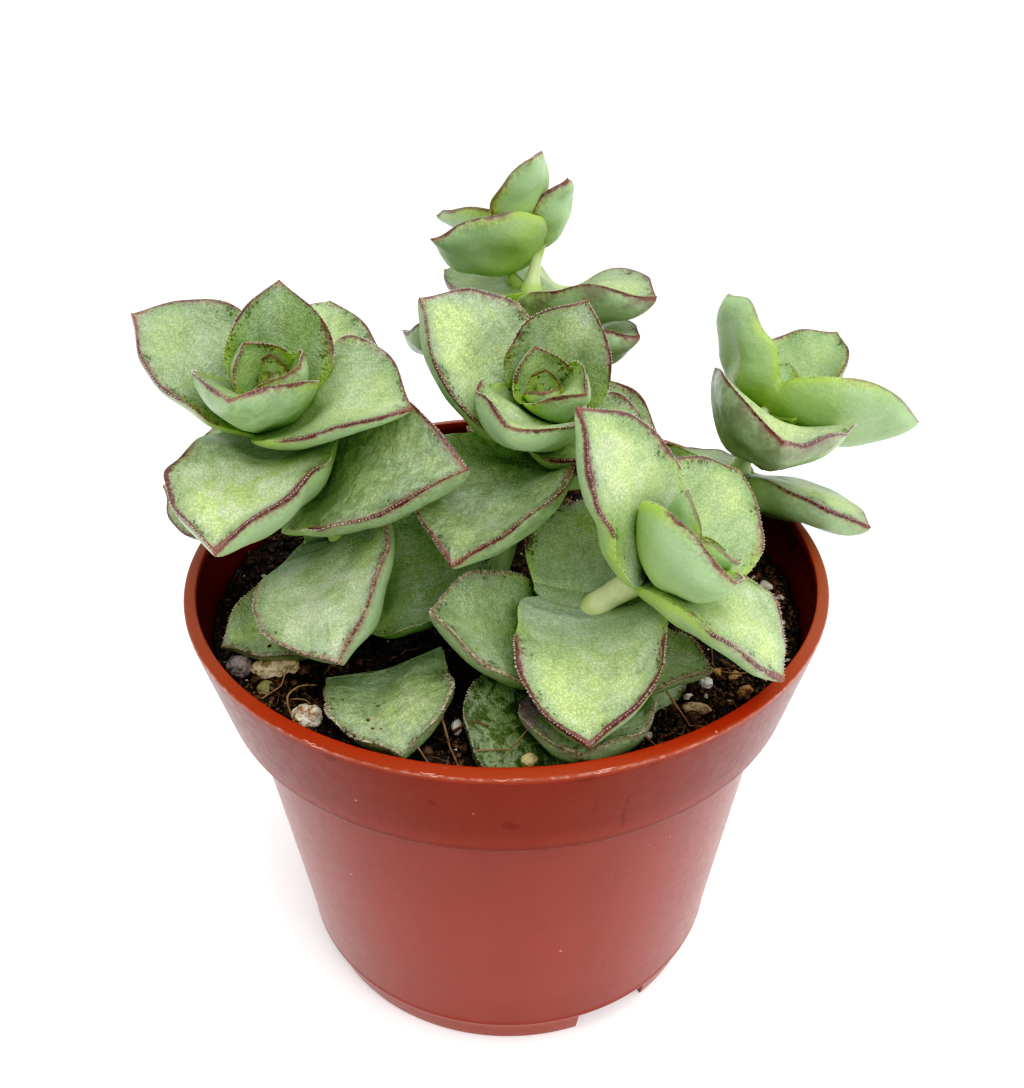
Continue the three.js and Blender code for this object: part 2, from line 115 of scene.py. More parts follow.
# Longest leaf of a pair that takes the small grid, longest leaf without a fringe, and the length of a leaf
# with full-sized ripples and fringe
SMALL_LEAF = 14
BARE_LEAF = 8
FULL_LEAF = 24
TOOTH_RADIUS = 0.075
STEM_AROUND = 22
STEM_SEED = 40
STEMS = {
    "left_stem": {
        "axis": (0, -0.42, 0.9),
        "path": [
            (-24, -9, STEM_ROOT_HEIGHT), (-24.5, -8.5, 72), (-25, -9, 77), (-27, -4, 86), (-31, -1.5, 95),
            (-34.5, -1, 102), (-35.5, -2, 107), (-36, -3, 110.5), (-36.4, -4, 112.3),
        ],
        "pairs": [
            [(-25, -9, 77), (-155, 5, 23, 17.5, 0, 0.25, 10), (4, 24, 25, 22, 0.03, 0.27, 0)],
            [(-27, -3.5, 86), (-85, 20, 31, 26, 0.08, 0.25, 30), (95, 0, 25, 20, 0, 0.25, 0)],
            [(-32.6, -2.3, 94.2), (-24, 36.2, 37.3, 23.1, 0.12, 0.27, 16, 0.8, 0.37),
             (170, -21, 30, 26, 0, 0.25, -5)],
            [(-35, -1, 102), (-102, 23, 31, 24, 0.08, 0.2, 10, 0.8, 0.32), (80, 5, 29, 25, 0.02, 0.25, 0)],
            [(-35.5, -2, 107), (156, 29, 27, 20.5, 0.03, 0.3, 3),
             (-18, 29, 27, 23.5, 0.08, 0.29, -7.4, 0.55, 0.15)],
            [(-36, -3, 110.5), (77, 53, 18.5, 16.3, 0.03, 0.4, 31), (-98, 52, 21.5, 18, -0.01, 0.38, 1)],
            [(-36.5, -4, 112.5), (150, 78, 10, 11, -0.03, 0.45, -15), (-33, 52, 13, 11, -0.06, 0.45, -5)],
            [(-35.6, -4.7, 113.1), (74, 70, 6.1, 5.8, -0.08, 0.1, 16), (-75, 69, 4.6, 4.5, 0.08, 0.3, 24)],
            [(-35.8, -4.9, 113.3), (150, 70, 3.4, 3, -0.05, 0.4, 0), (-30, 66, 3, 2.8, -0.05, 0.4, 0)],
        ],
    },
    "centre_stem": {
        "axis": (0, -0.35, 0.93),
        "path": [
            (-3.5, -11, STEM_ROOT_HEIGHT), (-3, -10, 74), (0, -5, 84), (2.5, -1, 93), (4, 0, 100),
            (5, -1.5, 105), (5.5, -2.5, 108), (6, -3.5, 111),
        ],
        "pairs": [
            [(4, 0, 100), (-23, 29, 24, 21.5, 0.02, 0.25, 0), (-113, 12, 31, 26, 0.07, 0.33, 12)],
            [(5, -1.5, 105), (153, 45, 27.3, 22.2, 0, 0.24, 0), (-33, 16, 21, 18, 0, 0.25, -5)],
            [(5.5, -2.5, 108), (47, 57, 19.2, 16.4, 0.02, 0.33, 28), (-107, 39, 21, 17, -0.02, 0.38, -10)],
            [(6, -3.5, 110.5), (120, 75, 9.5, 10, -0.04, 0.45, -12),
             (-52, 45, 13, 10.5, -0.01, 0.5, 9, 0.55, 0.36)],
            [(6.1, -5, 111.1), (85, 63, 5, 6.3, -0.02, 0.36, -15), (-90, 66, 4.3, 6.4, -0.01, 0.3, 10)],
            [(6.1, -5, 111.5), (160, 70, 3, 2.8, -0.05, 0.4, 0), (-20, 66, 2.8, 2.6, -0.05, 0.4, 0)],
        ],
    },
    "right_front_stem": {
        "axis": (0.35, -0.45, 0.8),
        "pale": 1.0,
        "knee": 0.5,
        "girth": ((83, 1.05), (91, 1.4)),
        "path": [
            (12, -25, STEM_ROOT_HEIGHT), (12, -25, 71), (11, -24.5, 78), (13.5, -22, 84), (21.5, -24, 91.5),
            (24, -24, 93.6), (25.8, -24, 95),
        ],
        "pairs": [
            [(9, -26, 70.8), (-124, 11, 24, 24, 0, 0.23, 12), (60, -10, 14, 12, 0, 0.2, 0)],
            [(13, -26, 72.5), (-115, 36, 22.5, 20.4, -0.04, 0.15, 35), (14, 4, 19, 15, 0, 0.2, 0)],
            [(10.5, -24.5, 78), (178, 9, 25, 20.5, -0.01, 0.2, 14), (-15, 32, 21.5, 15.5, -0.04, 0.15, -20)],
            [(13.7, -22, 84), (85, -8, 23, 22, 0.02, 0.2, -18, 0.8), (-102, 17, 28, 22, 0.05, 0.4, 30, 0.97)],
            [(21.5, -24, 91.5), (140, 35, 29, 20, 0.11, 0.17, 5), (-46, 14, 25, 19.5, 0.19, 0.05, -19)],
            [(24, -24, 93.7), (55, 20, 19, 21, -0.04, 0.25, 12),
             (-81, 55, 20.4, 21.4, 0, 0.49, -25, 0.55, 0.21)],
            [(25.8, -24, 95), (159, 69, 14.8, 8.6, -0.02, 0.26, 36, 0.55, 0.35),
             (-49, 56, 10.9, 10.9, -0.04, 0.36, -48, 0.55, 0.14)],
            [(26.6, -24.9, 95), (2, 41, 6, 5.1, 0, 0.35, 18), (165, 62, 5, 4.5, -0.03, 0.4, 0)],
        ],
    },
    "back_stem": {
        "axis": (0, 0.45, 0.9),
        "pale": 0.8,
        "path": [
            (4, 24, STEM_ROOT_HEIGHT), (4, 26, 84), (4, 29, 104), (4, 30, 110), (4.6, 31, 115),
            (6, 33, 122.5), (6.4, 34, 125),
        ],
        "pairs": [
            [(4, 26.6, 88), (60, 4, 19, 15.5, 0.03, 0.25, 0), (-120, 2, 17, 14, 0.03, 0.25, 0)],
            [(4, 27.6, 96), (138, 0, 18, 15, 0.04, 0.25, 0), (-30, 0, 20, 16, 0.04, 0.25, 0)],
            [(4, 29, 104.5), (-39, 5, 24, 19, 0, 0.25, 10), (141, 5, 20, 16, 0, 0.25, 0)],
            [(4, 30, 110), (-39, 6, 27, 22, 0.07, 0.28, 15), (149, -5, 27, 22, 0, 0.22, -8)],
            [(4.6, 31, 115), (150, 16, 19, 15, -0.05, 0.1, -20), (75, 8, 22, 18, 0.04, 0.33, 30)],
            [(6, 33, 122.5), (-156, 1, 21, 16.6, -0.07, 0.1, 32, 0.75, 0.11),
             (-70, 40, 14.5, 10, 0.02, 0.3, 30)],
            [(6.3, 34, 125), (-93, 30, 19.3, 13.4, 0.08, 0.32, 47, 0.6, 0.13),
             (157, 12, 20.5, 15, 0, 0.27, -5)],
            [(6.8, 35.5, 126), (50, 60, 6, 5, -0.05, 0.45, 0), (-150, 65, 6, 5, -0.05, 0.45, 0)],
        ],
    },
    "right_stem": {
        "axis": (0.35, 0.35, 0.87),
        "pale": 0.7,
        "path": [
            (36, 20, STEM_ROOT_HEIGHT), (38, 19, 76), (41.7, 18, 84.7), (45, 21, 93.3), (47.6, 23, 97.2),
        ],
        "pairs": [
            [(41.7, 18, 84.7), (-40, 1, 27, 18.5, 0.09, 0, 6, 0.55, 0.36),
             (132, -8, 23.5, 19, 0.04, 0.24, -5)],
            [(45, 21, 93.3), (38, 62, 23.5, 18.5, 0.02, 0.28, 6),
             (-93, -2, 30, 25, 0.08, 0.35, -3, 0.55, 0.32)],
            [(47.6, 23, 97.2), (157, 46, 21, 15.8, -0.04, 0.1, 35), (-12, 13, 25.6, 20, -0.01, 0.07, -30)],
            [(48.5, 24.2, 98), (75, 60, 7, 6, -0.05, 0.45, 0)],
        ],
    },
    "low_shoot": {
        "axis": (0, 0, 1),
        "knee": 0.2,
        "path": [(-18.5, -21.5, STEM_ROOT_HEIGHT), (-19, -21.6, 69), (-19.2, -22.1, 71.4)],
        "pairs": [[(-19.1, -22.3, 72.5), (-79, 3, 21.5, 19.5, 0.06, 0.16, 10, 0.97)]],
    },
}

# How single leaves differ from their age, by stem and then by pair and leaf. crust is pale scurf on an old
# margin, wither a plum-brown shrivelled corner, wet a dark soaked face that is also painted shade,
# darkening leaves that the lamps light too brightly, plum the strength of the red margin, glow the
# yellow-green flush in the middle of the face, raised on some leaves as painted light where they lie in
# shade, wax a pale dusty bloom that is also a painted highlight on bulging and shaded leaves, and blush a
# brown-purple cloud below. shift moves the leaf in millimetres, skew narrows its right half, wavy is how far
# it ripples and blunt how broad it stays.
LEAF_MARKS = {
    "low_shoot": {(0, 0): dict(crust=1.0, plum=0.1, wet=0.34, glow=1.4, wax=0.5, wavy=1.4)},
    "left_stem": {
        (0, 0): dict(plum=0.3, crust=0.3, wet=0.22),
        (0, 1): dict(plum=0.2, glow=0.1),
        (1, 0): dict(crust=0.45, plum=0.9, glow=0.9, wax=1.0),
        (2, 0): dict(wet=0.42, glow=0.4),
        (2, 1): dict(shift=(1.1, 1.8, 1.8)),
        (3, 0): dict(glow=1.3, plum=1.3, wax=1.0, wavy=1.3),
        (4, 0): dict(wet=0.15, glow=0.5),
        (4, 1): dict(shift=(-0.4, -0.8, -0.6), glow=0.7, wax=0.3),
        (5, 0): dict(wet=0.25, glow=0.3),
        (5, 1): dict(wet=0.24, wavy=0.4),
    },
    "centre_stem": {
        (0, 1): dict(wet=0.45, glow=0.6),
        (1, 0): dict(wax=0.3, glow=1.3),
        (2, 0): dict(wet=0.2, glow=0.5),
        (2, 1): dict(plum=1.0, blunt=0.6),
    },
    "right_front_stem": {
        (0, 0): dict(crust=0.35, plum=0.0, wet=0.8, glow=1.0, wavy=1.3),
        (1, 0): dict(wither=1.0, plum=0.4, crust=0.7, glow=0.6, wax=1.0),
        (1, 1): dict(plum=0.3, crust=0.7, glow=0.4),
        (2, 0): dict(crust=0.6, plum=0.5, glow=0.4, wet=0.3),
        (2, 1): dict(plum=0.6, crust=0.45, glow=1.0, wax=0.8),
        (3, 0): dict(wax=0.45),
        (3, 1): dict(glow=1.5, plum=1.4, wavy=1.4, wax=0.6),
        (4, 0): dict(plum=1.2, wax=0.6, glow=1.3),
        (4, 1): dict(wax=0.4, glow=1.3),
        (5, 0): dict(wax=0.2, glow=1.0),
        (5, 1): dict(shift=(-1.1, -0.7, 1.1), skew=0.5, wavy=0.2),
        (6, 0): dict(plum=0.6),
    },
    "right_stem": {
        (0, 0): dict(blush=0.25, wavy=0.5),
        (1, 0): dict(age=0.2, glow=0.4, blunt=1.0),
        (1, 1): dict(blush=0.6),
        (2, 0): dict(plum=0.4, glow=0.3, blunt=1.6),
        (2, 1): dict(plum=0.5, wavy=0.5),
    },
    "back_stem": {
        (2, 0): dict(blush=0.5),
        (3, 0): dict(blush=0.7),
        (5, 0): dict(shift=(0.6, 0.2, 0), blunt=-0.2),
        (5, 1): dict(shift=(0.7, 1.4, -0.1)),
        (6, 0): dict(shift=(-1.0, -1.2, -0.4), blunt=-0.2),
        (6, 1): dict(blunt=-0.3),
    },
}

# Grains half sunk in the peat: (x, y, height of the middle, width, depth, height, turn), colours, pore depth
GRAINS = {
    "perlite_grey": ((-43, -19.6, 71.2, 4.6, 4.4, 4.4, 0), "8d837d", "4a4340", 0.9),
    "perlite_beige": ((-37.2, -19.6, 71, 8, 4.4, 4.2, 12), "dccaa2", "8d7a58", 0.9),
    "perlite_green": ((-38, -24.6, 70.7, 3.1, 3, 2.6, 30), "8b8458", "4c4630", 0.7),
    "perlite_cream": ((-30.5, -31.9, 71, 5.2, 4.4, 4.2, 0), "e6dcc4", "8a6a42", 0.8),
    "perlite_left": ((-7.5, -34.2, 70.7, 1.9, 3.2, 2.2, 0), "e6e3d8", "9c988c", 0.4),
    "perlite_front": ((3.3, -41.4, 70.6, 2.6, 2.4, 2, 0), "cfc08a", "8a7846", 0.6),
    "bark_right": ((29.2, -30, 70.6, 5, 2.4, 2, -10), "c2a886", "7c6548", 0.5),
    "perlite_right": ((31.5, -24, 70.7, 2.4, 2.2, 2, 0), "ebe8e0", "a8a49a", 0.4),
    "bark_far_right": ((37.4, -26.2, 70.7, 3.1, 2.4, 2, 40), "a5825c", "5c4229", 0.5),
}

# The peat: its mean height, the radius of its bed, how far out crumbs and fibres lie, and its hidden side
SOIL_LEVEL = 70
BED_RADIUS = 50.1
STREWN_RADIUS = 49.2
FIBRE_RADIUS = 49
BED_SIDE = ((35.6, 7.6), (43.9, 60.6), (47.6, 61.4), (48.6, 66), (49.6, 68.8))
# Rootlets and twigs laid one by one: points across the peat or over a low leaf, girth, arch and tone
ROOTLETS = (
    (((-33, -31), (-34, -28), (-32.4, -26), (-30, -24.4), (-30.6, -22.4)), 0.22, 2.2, 0.95),
    (((-29, -31), (-31, -28.5), (-33.5, -28), (-35, -25)), 0.16, 1.6, 0.8),
    (((-27.5, -30), (-28.6, -26.5), (-27, -23.5), (-24, -22)), 0.14, 1.2, 0.9),
    (((-38.5, -27), (-36, -25.5), (-34.5, -22.5)), 0.18, 1.0, 1.0),
    (((-8.2, -35.8), (-5, -37), (-2.6, -37.4)), 0.3, 0.3, 0.25),
    (((-9.6, -36.5), (-8, -40), (-6.8, -42.6)), 0.26, 0.8, 0.3),
    (((-4.5, -42), (-0.5, -40.3), (3.6, -38.6)), 0.16, 0.4, 1.0),
    (((-13, -41), (-10, -43.5), (-5.5, -45.5)), 0.2, 0.6, 0.7),
    (((-20, -42), (-16, -44), (-11, -45.5)), 0.15, 0.9, 0.9),
    (((24, -33), (28, -34.5), (32, -34)), 0.2, 0.7, 0.7),
    (((20, -41), (25, -38), (27, -34)), 0.16, 0.9, 0.9),
    (((33, -20), (36, -22), (40, -21)), 0.22, 0.8, 0.6),
)
# Larger chips laid one by one on the peat: middle, size, and 0 for pale perlite or 1 for tan bark
LARGE_CHIPS = (
    (28.4, -26.8, 0.9, 0), (33.9, -20.7, 1.1, 1), (36.3, -21.8, 1.3, 1), (38.2, -17.8, 1, 1),
    (40.4, -19.4, 0.8, 0), (42.2, -12.6, 1.2, 1), (45.4, -11.2, 0.9, 0), (46.4, -4, 1.3, 1),
    (45.8, 2.8, 1.3, 0), (47.6, -0.4, 0.8, 0), (43.6, -7.6, 0.7, 0), (34.8, -27.6, 0.7, 0),
)
# Crumbs spilt over leaves and peat: middle, spread and how many; leaves are spilt on up to this far right
SPILLS = (
    (-3, -44.5, 4, 40), (-7, -38.5, 3, 12), (-22, -38, 4, 14), (27, -33, 7, 150), (35, -24, 8, 200),
    (43, -12, 8, 150), (46, 2, 6, 110), (-36, -24, 7, 70),
)
SPILT_LEAVES = 10
# Small chips are fewer left of here
CHIPPED_PEAT = 12
PEAT_SEED = 7
# Points round the bed, its rings from the edge to the middle, and the distance between a fibre's points
BED_AROUND = 360
BED_RINGS = 120
FIBRE_STEP = 0.6


# ------------------------------------------------------------------ settings
def paint(code):
    """A linear colour from a six-figure screen colour."""
    channels = [int(code[i:i + 2], 16) / 255 for i in (0, 2, 4)]
    return (*(c / 12.92 if c <= 0.04045 else ((c + 0.055) / 1.055) ** 2.4 for c in channels), 1.0)


def length(name, description, millimetres):
    return FloatProperty(
        name=name, description=description, default=millimetres * MM, unit="LENGTH", precision=5,
    )


def tint(name, description, code):
    return FloatVectorProperty(name=name, description=description, default=paint(code), subtype="COLOR",
                               size=4, min=0, max=1)


class PotSettings(bpy.types.PropertyGroup):
    """The nursery pot."""
    rim_radius: length("Rim radius", "Outside radius of the lip", (POT_HIGH.x - POT_LOW.x) / 2 / MM)
    rim_height: length("Rim height", "Height of the lip's inner edge", (POT_HIGH.z - POT_LOW.z) / MM)
    rim_width: length("Rim width", "Width of the lip's flat top", 2.1)
    wall: length("Wall", "Thickness of the wall", 1.5)
    plastic: tint("Plastic", "The pot's main colour", "842a1b")
    rim_plastic: tint("Rim plastic", "The lip's cleaner colour", "8a2c0f")
    # Painted sheen: the sides and back of the lip paled as a grazing sheen would pale them
    painted_rim_sheen: tint("Dulled plastic", "The sides and back of the lip", "8c5a48")
    # The stain colour also paints shade on the collar, under it and at its lower edge
    stain_and_shade: tint("Stain", "Dried water marks", "4a150a")
    # Also painted as a highlight along the lip's outer edge
    scuff_and_highlight: tint("Scuff", "Scratched and stretched plastic", "dba99a")


class SoilSettings(bpy.types.PropertyGroup):
    """The peat, its crumbs and fibres."""
    crumbs: IntProperty(name="Crumbs", description="How many loose crumbs lie on the peat", default=1500)
    fibres: IntProperty(
        name="Fibres", description="How many fibres and rootlets lie on the peat", default=260,
    )
    chips: IntProperty(
        name="Chips", description="How many small pale chips are strewn on the peat", default=380,
    )
    peat: tint("Peat", "Wet peat", "150f0b")
    peat_dry: tint("Dry peat", "Crumbs that have dried", "5f4733")
    fibre: tint("Fibre", "Root and bark fibre", "8f7553")
    chip: tint("Chip", "Small perlite chips", "cfc8b8")
    bark: tint("Bark", "Larger bark chips", "b48d5e")


class LeafSettings(bpy.types.PropertyGroup):
    """The leaves and stems."""
    margin_radius: length("Margin radius", "Roundness of the leaf's margin", 0.32)
    tooth_length: length("Tooth length", "Length of the fringe on the margins", 0.26)
    tooth_spacing: length("Tooth spacing", "Distance between the fringe's teeth", 0.5)
    stem_radius: length("Stem radius", "Radius of the stems", 1.6)
    flesh: tint("Flesh", "The leaf's even green", "93ac7c")
    young: tint("Young flesh", "The green of the leaves in the rosettes", "7ba35d")
    bloom: tint("Bloom", "Waxy bloom near the stem and below", "adbfa4")
    below: tint("Underside", "The smooth underside", "9cba87")
    # The flush colour is also painted light on leaves that lie in shade
    glow: tint("Glow", "Yellow-green flush in the outer half", "c5d98b")
    deep: tint("Deep green", "Shaded green near the stem", "536b3d")
    # The pale wax is also a painted highlight on bulging and shaded leaves
    wax: tint("Wax", "Pale dusty wax on weathered leaves", "d8e2bf")
    lime: tint("Lime", "Edges of the leaf near the stem", "9fbc50")
    # The dot green also paints the shade of soaked and shaded leaves
    dot: tint("Dots", "Dark green dots near the margins", "38491f")
    plum: tint("Plum", "The red-purple margin", "562a2e")
    blushed: tint("Blushed", "The softer red beside the margin", "9a7465")
    russet: tint("Russet", "Tips and old margins", "74433a")
    # The scurf colour also paints glints on the upper face
    scurf: tint("Scurf", "Pale crust on old margins", "c6b498")
    stem: tint("Stem", "The stems", "d8e0a8")


class StudioSettings(bpy.types.PropertyGroup):
    """Camera, floor and lights."""
    camera_distance: length("Camera distance", "From the camera to its aim", 209.306)
    camera_rise: FloatProperty(name="Camera rise", description="The camera's angle above the horizon",
                               default=math.radians(32.53), subtype="ANGLE")
    camera_roll: FloatProperty(name="Camera roll", description="The camera's turn about its line of sight",
                               default=math.radians(-0.359), subtype="ANGLE")
    camera_lens: FloatProperty(name="Lens", description="Focal length for a 36 mm long side", default=40.787)
    aim_side: length("Aim sideways", "The aim's distance to the right of the pot's axis", 0.983)
    aim_height: length("Aim height", "The aim's height", 81.734)
    floor: tint("Floor", "The floor", "f9f9f9")
    floor_glow: FloatProperty(name="Floor glow", description="Light of the lit floor itself", default=0.18)
    surroundings: FloatProperty(
        name="Surroundings", description="Brightness of the white surroundings", default=0.8,
    )


def mm(value):
    """A length setting in millimetres."""
    return value / MM


# ------------------------------------------------------------------ meshes
class Shells:
    """Closed shells gathered into one mesh, with values kept at each point."""

    def __init__(self):
        self.points, self.faces, self.values, self.count = [], {4: [], 3: []}, {}, 0

    def add(self, points, quads=(), triangles=(), material=0, **values):
        """A shell's points and faces, each face with its material's number in front."""
        for corners, faces in ((4, quads), (3, triangles)):
            if len(faces):
                self.faces[corners].append(np.insert(np.asarray(faces) + self.count, 0, material, axis=1))
        for name, value in values.items():
            self.values.setdefault(name, []).append(np.broadcast_to(value, len(points)).astype(np.float32))
        self.points.append(points)
        self.count += len(points)

    def add_body(self, rings, ends, material=0, **values):
        """A closed body over rings of points, with a point in the middle of each end."""
        rows, around = np.shape(rings)[:2]
        ring, spoke = np.meshgrid(np.arange(rows - 1), np.arange(around), indexing="ij")
        a, b = ring * around + spoke, ring * around + (spoke + 1) % around
        quads = np.stack([a, b, b + around, a + around], -1).reshape(-1, 4)
        count, spoke = rows * around, np.arange(around)
        following, last = (spoke + 1) % around, (rows - 1) * around
        caps = np.vstack([
            np.stack([np.full(around, count), following, spoke], -1),
            np.stack([np.full(around, count + 1), last + spoke, last + following], -1),
        ])
        self.add(np.vstack([np.reshape(rings, (-1, 3)), *ends]), quads, caps, material, **values)

    def add_tube(self, curve, radii, around, material=0, **values):
        """A round tube along a curve."""
        curve = np.asarray(curve, float)
        tangents = np.gradient(curve, axis=0)
        tangents /= np.linalg.norm(tangents, axis=1, keepdims=True)
        side = np.cross(tangents[0], (0.3, 0.9, 0.1))
        angles = np.linspace(0, FULL_TURN, around, endpoint=False)[:, None]
        rings = []
        for point, tangent, radius in zip(curve, tangents, np.broadcast_to(radii, len(curve))):
            side = side - tangent * (side @ tangent)
            side /= np.linalg.norm(side)
            rings.append(point + radius * (np.cos(angles) * side + np.sin(angles) * np.cross(tangent, side)))
        self.add_body(rings, (curve[:1], curve[-1:]), material, **values)

    def piece(self, name, materials, slot, *nodes):
        """The finished object, riding on the part's one body."""
        mesh = bpy.data.meshes.new(name)
        points = np.concatenate(self.points) * MM + np.array(POT_AXIS)
        mesh.vertices.add(len(points))
        mesh.vertices.foreach_set("co", points.astype(np.float32).ravel())
        corners, starts, indices = [], [], []
        for size, faces in self.faces.items():
            if faces:
                faces = np.concatenate(faces)
                starts.append(np.arange(len(faces)) * size + sum(map(len, corners)))
                corners.append(faces[:, 1:].ravel())
                indices.append(faces[:, 0])
        corners, starts, indices = (np.concatenate(a).astype(np.int32) for a in (corners, starts, indices))
        mesh.loops.add(len(corners))
        mesh.loops.foreach_set("vertex_index", corners)
        mesh.polygons.add(len(starts))
        mesh.polygons.foreach_set("loop_start", starts)
        for material in materials:
            mesh.materials.append(material)
        mesh.polygons.foreach_set("material_index", indices)
        mesh.update(calc_edges=True)
        mesh.shade_smooth()
        for key, value in self.values.items():
            mesh.attributes.new(key, "FLOAT", "POINT").data.foreach_set("value", np.concatenate(value))
        piece = bpy.data.objects.new(name, mesh)
        bpy.context.scene.collection.objects.link(piece)
        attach(piece, "root")
        if nodes:
            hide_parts(*nodes)
        return piece


def round_points(radii, angles, heights):
    """Points at radii and angles about the pot's axis."""
    return np.stack(np.broadcast_arrays(radii * np.cos(angles), radii * np.sin(angles), heights), -1)


def turn_about_z(points, degrees):
    c, s = math.cos(math.radians(degrees)), math.sin(math.radians(degrees))
    return points @ np.array([[c, s, 0], [-s, c, 0], [0, 0, 1]])


def unit(vectors):
    """Vectors, one a row, at length 1."""
    return vectors / (np.linalg.norm(vectors, axis=1, keepdims=True) + 1e-9)


def smooth_curve(points, step):
    """Points along a centripetal curve through points, about step apart."""
    points = np.asarray(points, float)
    control = np.vstack([2 * points[:1] - points[1:2], points, 2 * points[-1:] - points[-2:-1]])
    curve = [points[0]]
    for group in zip(control, control[1:], control[2:], control[3:]):
        knots = np.cumsum([0, *(np.linalg.norm(b - a) ** 0.5 for a, b in zip(group, group[1:]))])
        count = max(2, math.ceil(np.linalg.norm(group[2] - group[1]) / step))
        for t in np.linspace(knots[1], knots[2], count + 1)[1:]:
            layer = group
            for width in (1, 2, 3):
                layer = [
                    ((end - t) * a + (t - start) * b) / (end - start)
                    for start, end, a, b in zip(knots, knots[width:], layer, layer[1:])
                ]
            curve.append(layer[0])
    return np.array(curve)


def filleted(corners, radius, steps=4):
    """A profile with each inner corner rounded."""
    corners = [np.array(c, float) for c in corners]
    profile = [corners[0]]
    for before, corner, after in zip(corners, corners[1:], corners[2:]):
        sides = [(other - corner, np.linalg.norm(other - corner)) for other in (before, after)]
        reach = min(radius, *(0.45 * away for _, away in sides))
        start, end = (corner + reach * towards / away for towards, away in sides)
        profile += [(1 - t) ** 2 * start + 2 * t * (1 - t) * corner + t ** 2 * end
                    for t in np.linspace(0, 1, steps + 1)]
    return profile + [corners[-1]]


def subdivided(profile, longest):
    """A profile with its long stretches cut up."""
    points = [profile[0]]
    for start, end in zip(profile, profile[1:]):
        count = max(1, math.ceil(np.linalg.norm(end - start) / longest))
        points += [start + (end - start) * i / count for i in range(1, count + 1)]
    return np.array(points)


def lump(detail):
    """Points and triangles of an even ball, for shaping into crumbs and grains."""
    ball = bmesh.new()
    bmesh.ops.create_icosphere(ball, subdivisions=detail, radius=1)
    points = np.array([v.co for v in ball.verts])
    triangles = np.array([[v.index for v in f.verts] for f in ball.faces])
    ball.free()
    return points, triangles


def crumb(random, ball, dent, stretches, size):
    """A dented, stretched and turned ball. A stretch is a share, or the ends that one is drawn between."""
    dents = random.uniform(dent, 1.0, (len(ball), 1))
    stretch = np.array([random.uniform(*s) if isinstance(s, tuple) else s for s in stretches])
    return turn_about_z(ball * dents * stretch * size, random.uniform(0, 360))


# ------------------------------------------------------------------ shader building
class Wiring:
    """Adds nodes to one node tree and joins them."""

    def __init__(self, tree, owner=None):
        self.tree, self.owner = tree, owner

    def node(self, kind, inputs=(), **settings):
        node = self.tree.nodes.new("ShaderNode" + kind)
        for setting, value in settings.items():
            setattr(node, setting, value)
        for socket, value in dict(inputs).items():
            self.feed(node.inputs[socket], value)
        return node

    def feed(self, socket, value):
        if isinstance(value, Value):
            self.tree.links.new(value.socket, socket)
        else:
            socket.default_value = value

    def outs(self, kind, inputs, *outputs, **settings):
        """What a new node puts out at each of the sockets asked for."""
        node = self.node(kind, inputs, **settings)
        return [Value(self, node.outputs[output]) for output in outputs]

    def out(self, kind, inputs=(), output=0, **settings):
        return self.outs(kind, inputs, output, **settings)[0]

    def place(self):
        return self.out("TexCoord", output="Object")

    def kept(self, name):
        """A value kept at the mesh's points."""
        return self.out("Attribute", output="Fac", attribute_name=name, attribute_type="GEOMETRY")

    def finish(self, **inputs):
        """Ends a material in one Principled shader."""
        names = {key.replace("_", " ").title().replace("Ior", "IOR"): value for key, value in inputs.items()}
        shader = self.out("BsdfPrincipled", names, "BSDF")
        self.node("OutputMaterial", {"Surface": shader})
        return self.owner


class Value:
    """What a node puts out, with sums of such values written as sums and the larger of two as a | b."""

    def __init__(self, wiring, socket):
        self.wiring, self.socket = wiring, socket

    def math(self, operation, *others, first=(), clamp=False):
        inputs = dict(enumerate((*first, self, *others)))
        return self.wiring.out("Math", inputs, operation=operation, use_clamp=clamp)

    def __add__(self, other):
        return self.math("ADD", other)

    def __sub__(self, other):
        return self.math("SUBTRACT", other)

    def __rsub__(self, other):
        return self.math("SUBTRACT", first=[other])

    def __mul__(self, other):
        return self.math("MULTIPLY", other)

    def __rtruediv__(self, other):
        return self.math("DIVIDE", first=[other])

    def __or__(self, other):
        return self.math("MAXIMUM", other)

    __radd__, __rmul__ = __add__, __mul__

    def ease(self, low, high, start=0.0, end=1.0):
        """start below low, end above high, and an eased change between them."""
        inputs = {"Value": self, "From Min": low, "From Max": high, "To Min": start, "To Max": end}
        return self.wiring.out("MapRange", inputs, interpolation_type="SMOOTHSTEP")

    def ease_mm(self, low, high, *ends):
        return self.ease(low * MM, high * MM, *ends)

    def blend(self, first, second):
        """first where this value is 0 and second where it is 1."""
        return self.wiring.out("Mix", {0: self, 6: first, 7: second}, 2, data_type="RGBA")

    def moved(self, operation, *others):
        """A vector changed by others."""
        return self.wiring.out("VectorMath", dict(enumerate((self, *others))), operation=operation)

    def axes(self):
        return self.wiring.outs("SeparateXYZ", {0: self}, *"XYZ")

    def noise(self, size, detail=3.0, roughness=0.55, distortion=0.0, output="Fac"):
        """Noise over this place with features about size millimetres across."""
        inputs = {"Vector": self, "Scale": 1 / (size * MM), "Detail": detail, "Roughness": roughness,
                  "Distortion": distortion}
        return self.wiring.out("TexNoise", inputs, output)

    def cells(self, scale):
        """How far away the middle of this place's cell is, and the cell's own colour."""
        return self.wiring.outs("TexVoronoi", {"Vector": self, "Scale": scale}, "Distance", "Color")

    def red(self):
        return self.wiring.out("SeparateColor", {"Color": self}, "Red")

    def bump(self, strength, distance):
        """The normal of a surface that this height raises by up to distance millimetres."""
        return self.wiring.out("Bump", {"Height": self, "Strength": strength, "Distance": distance * MM})


def vector(x, y, z):
    return x.wiring.out("CombineXYZ", {"X": x, "Y": y, "Z": z})


def layered(colour, *coats):
    """A colour with coats over it, each a mask and the coat's colour."""
    for mask, coat in coats:
        colour = mask.blend(colour, coat)
    return colour


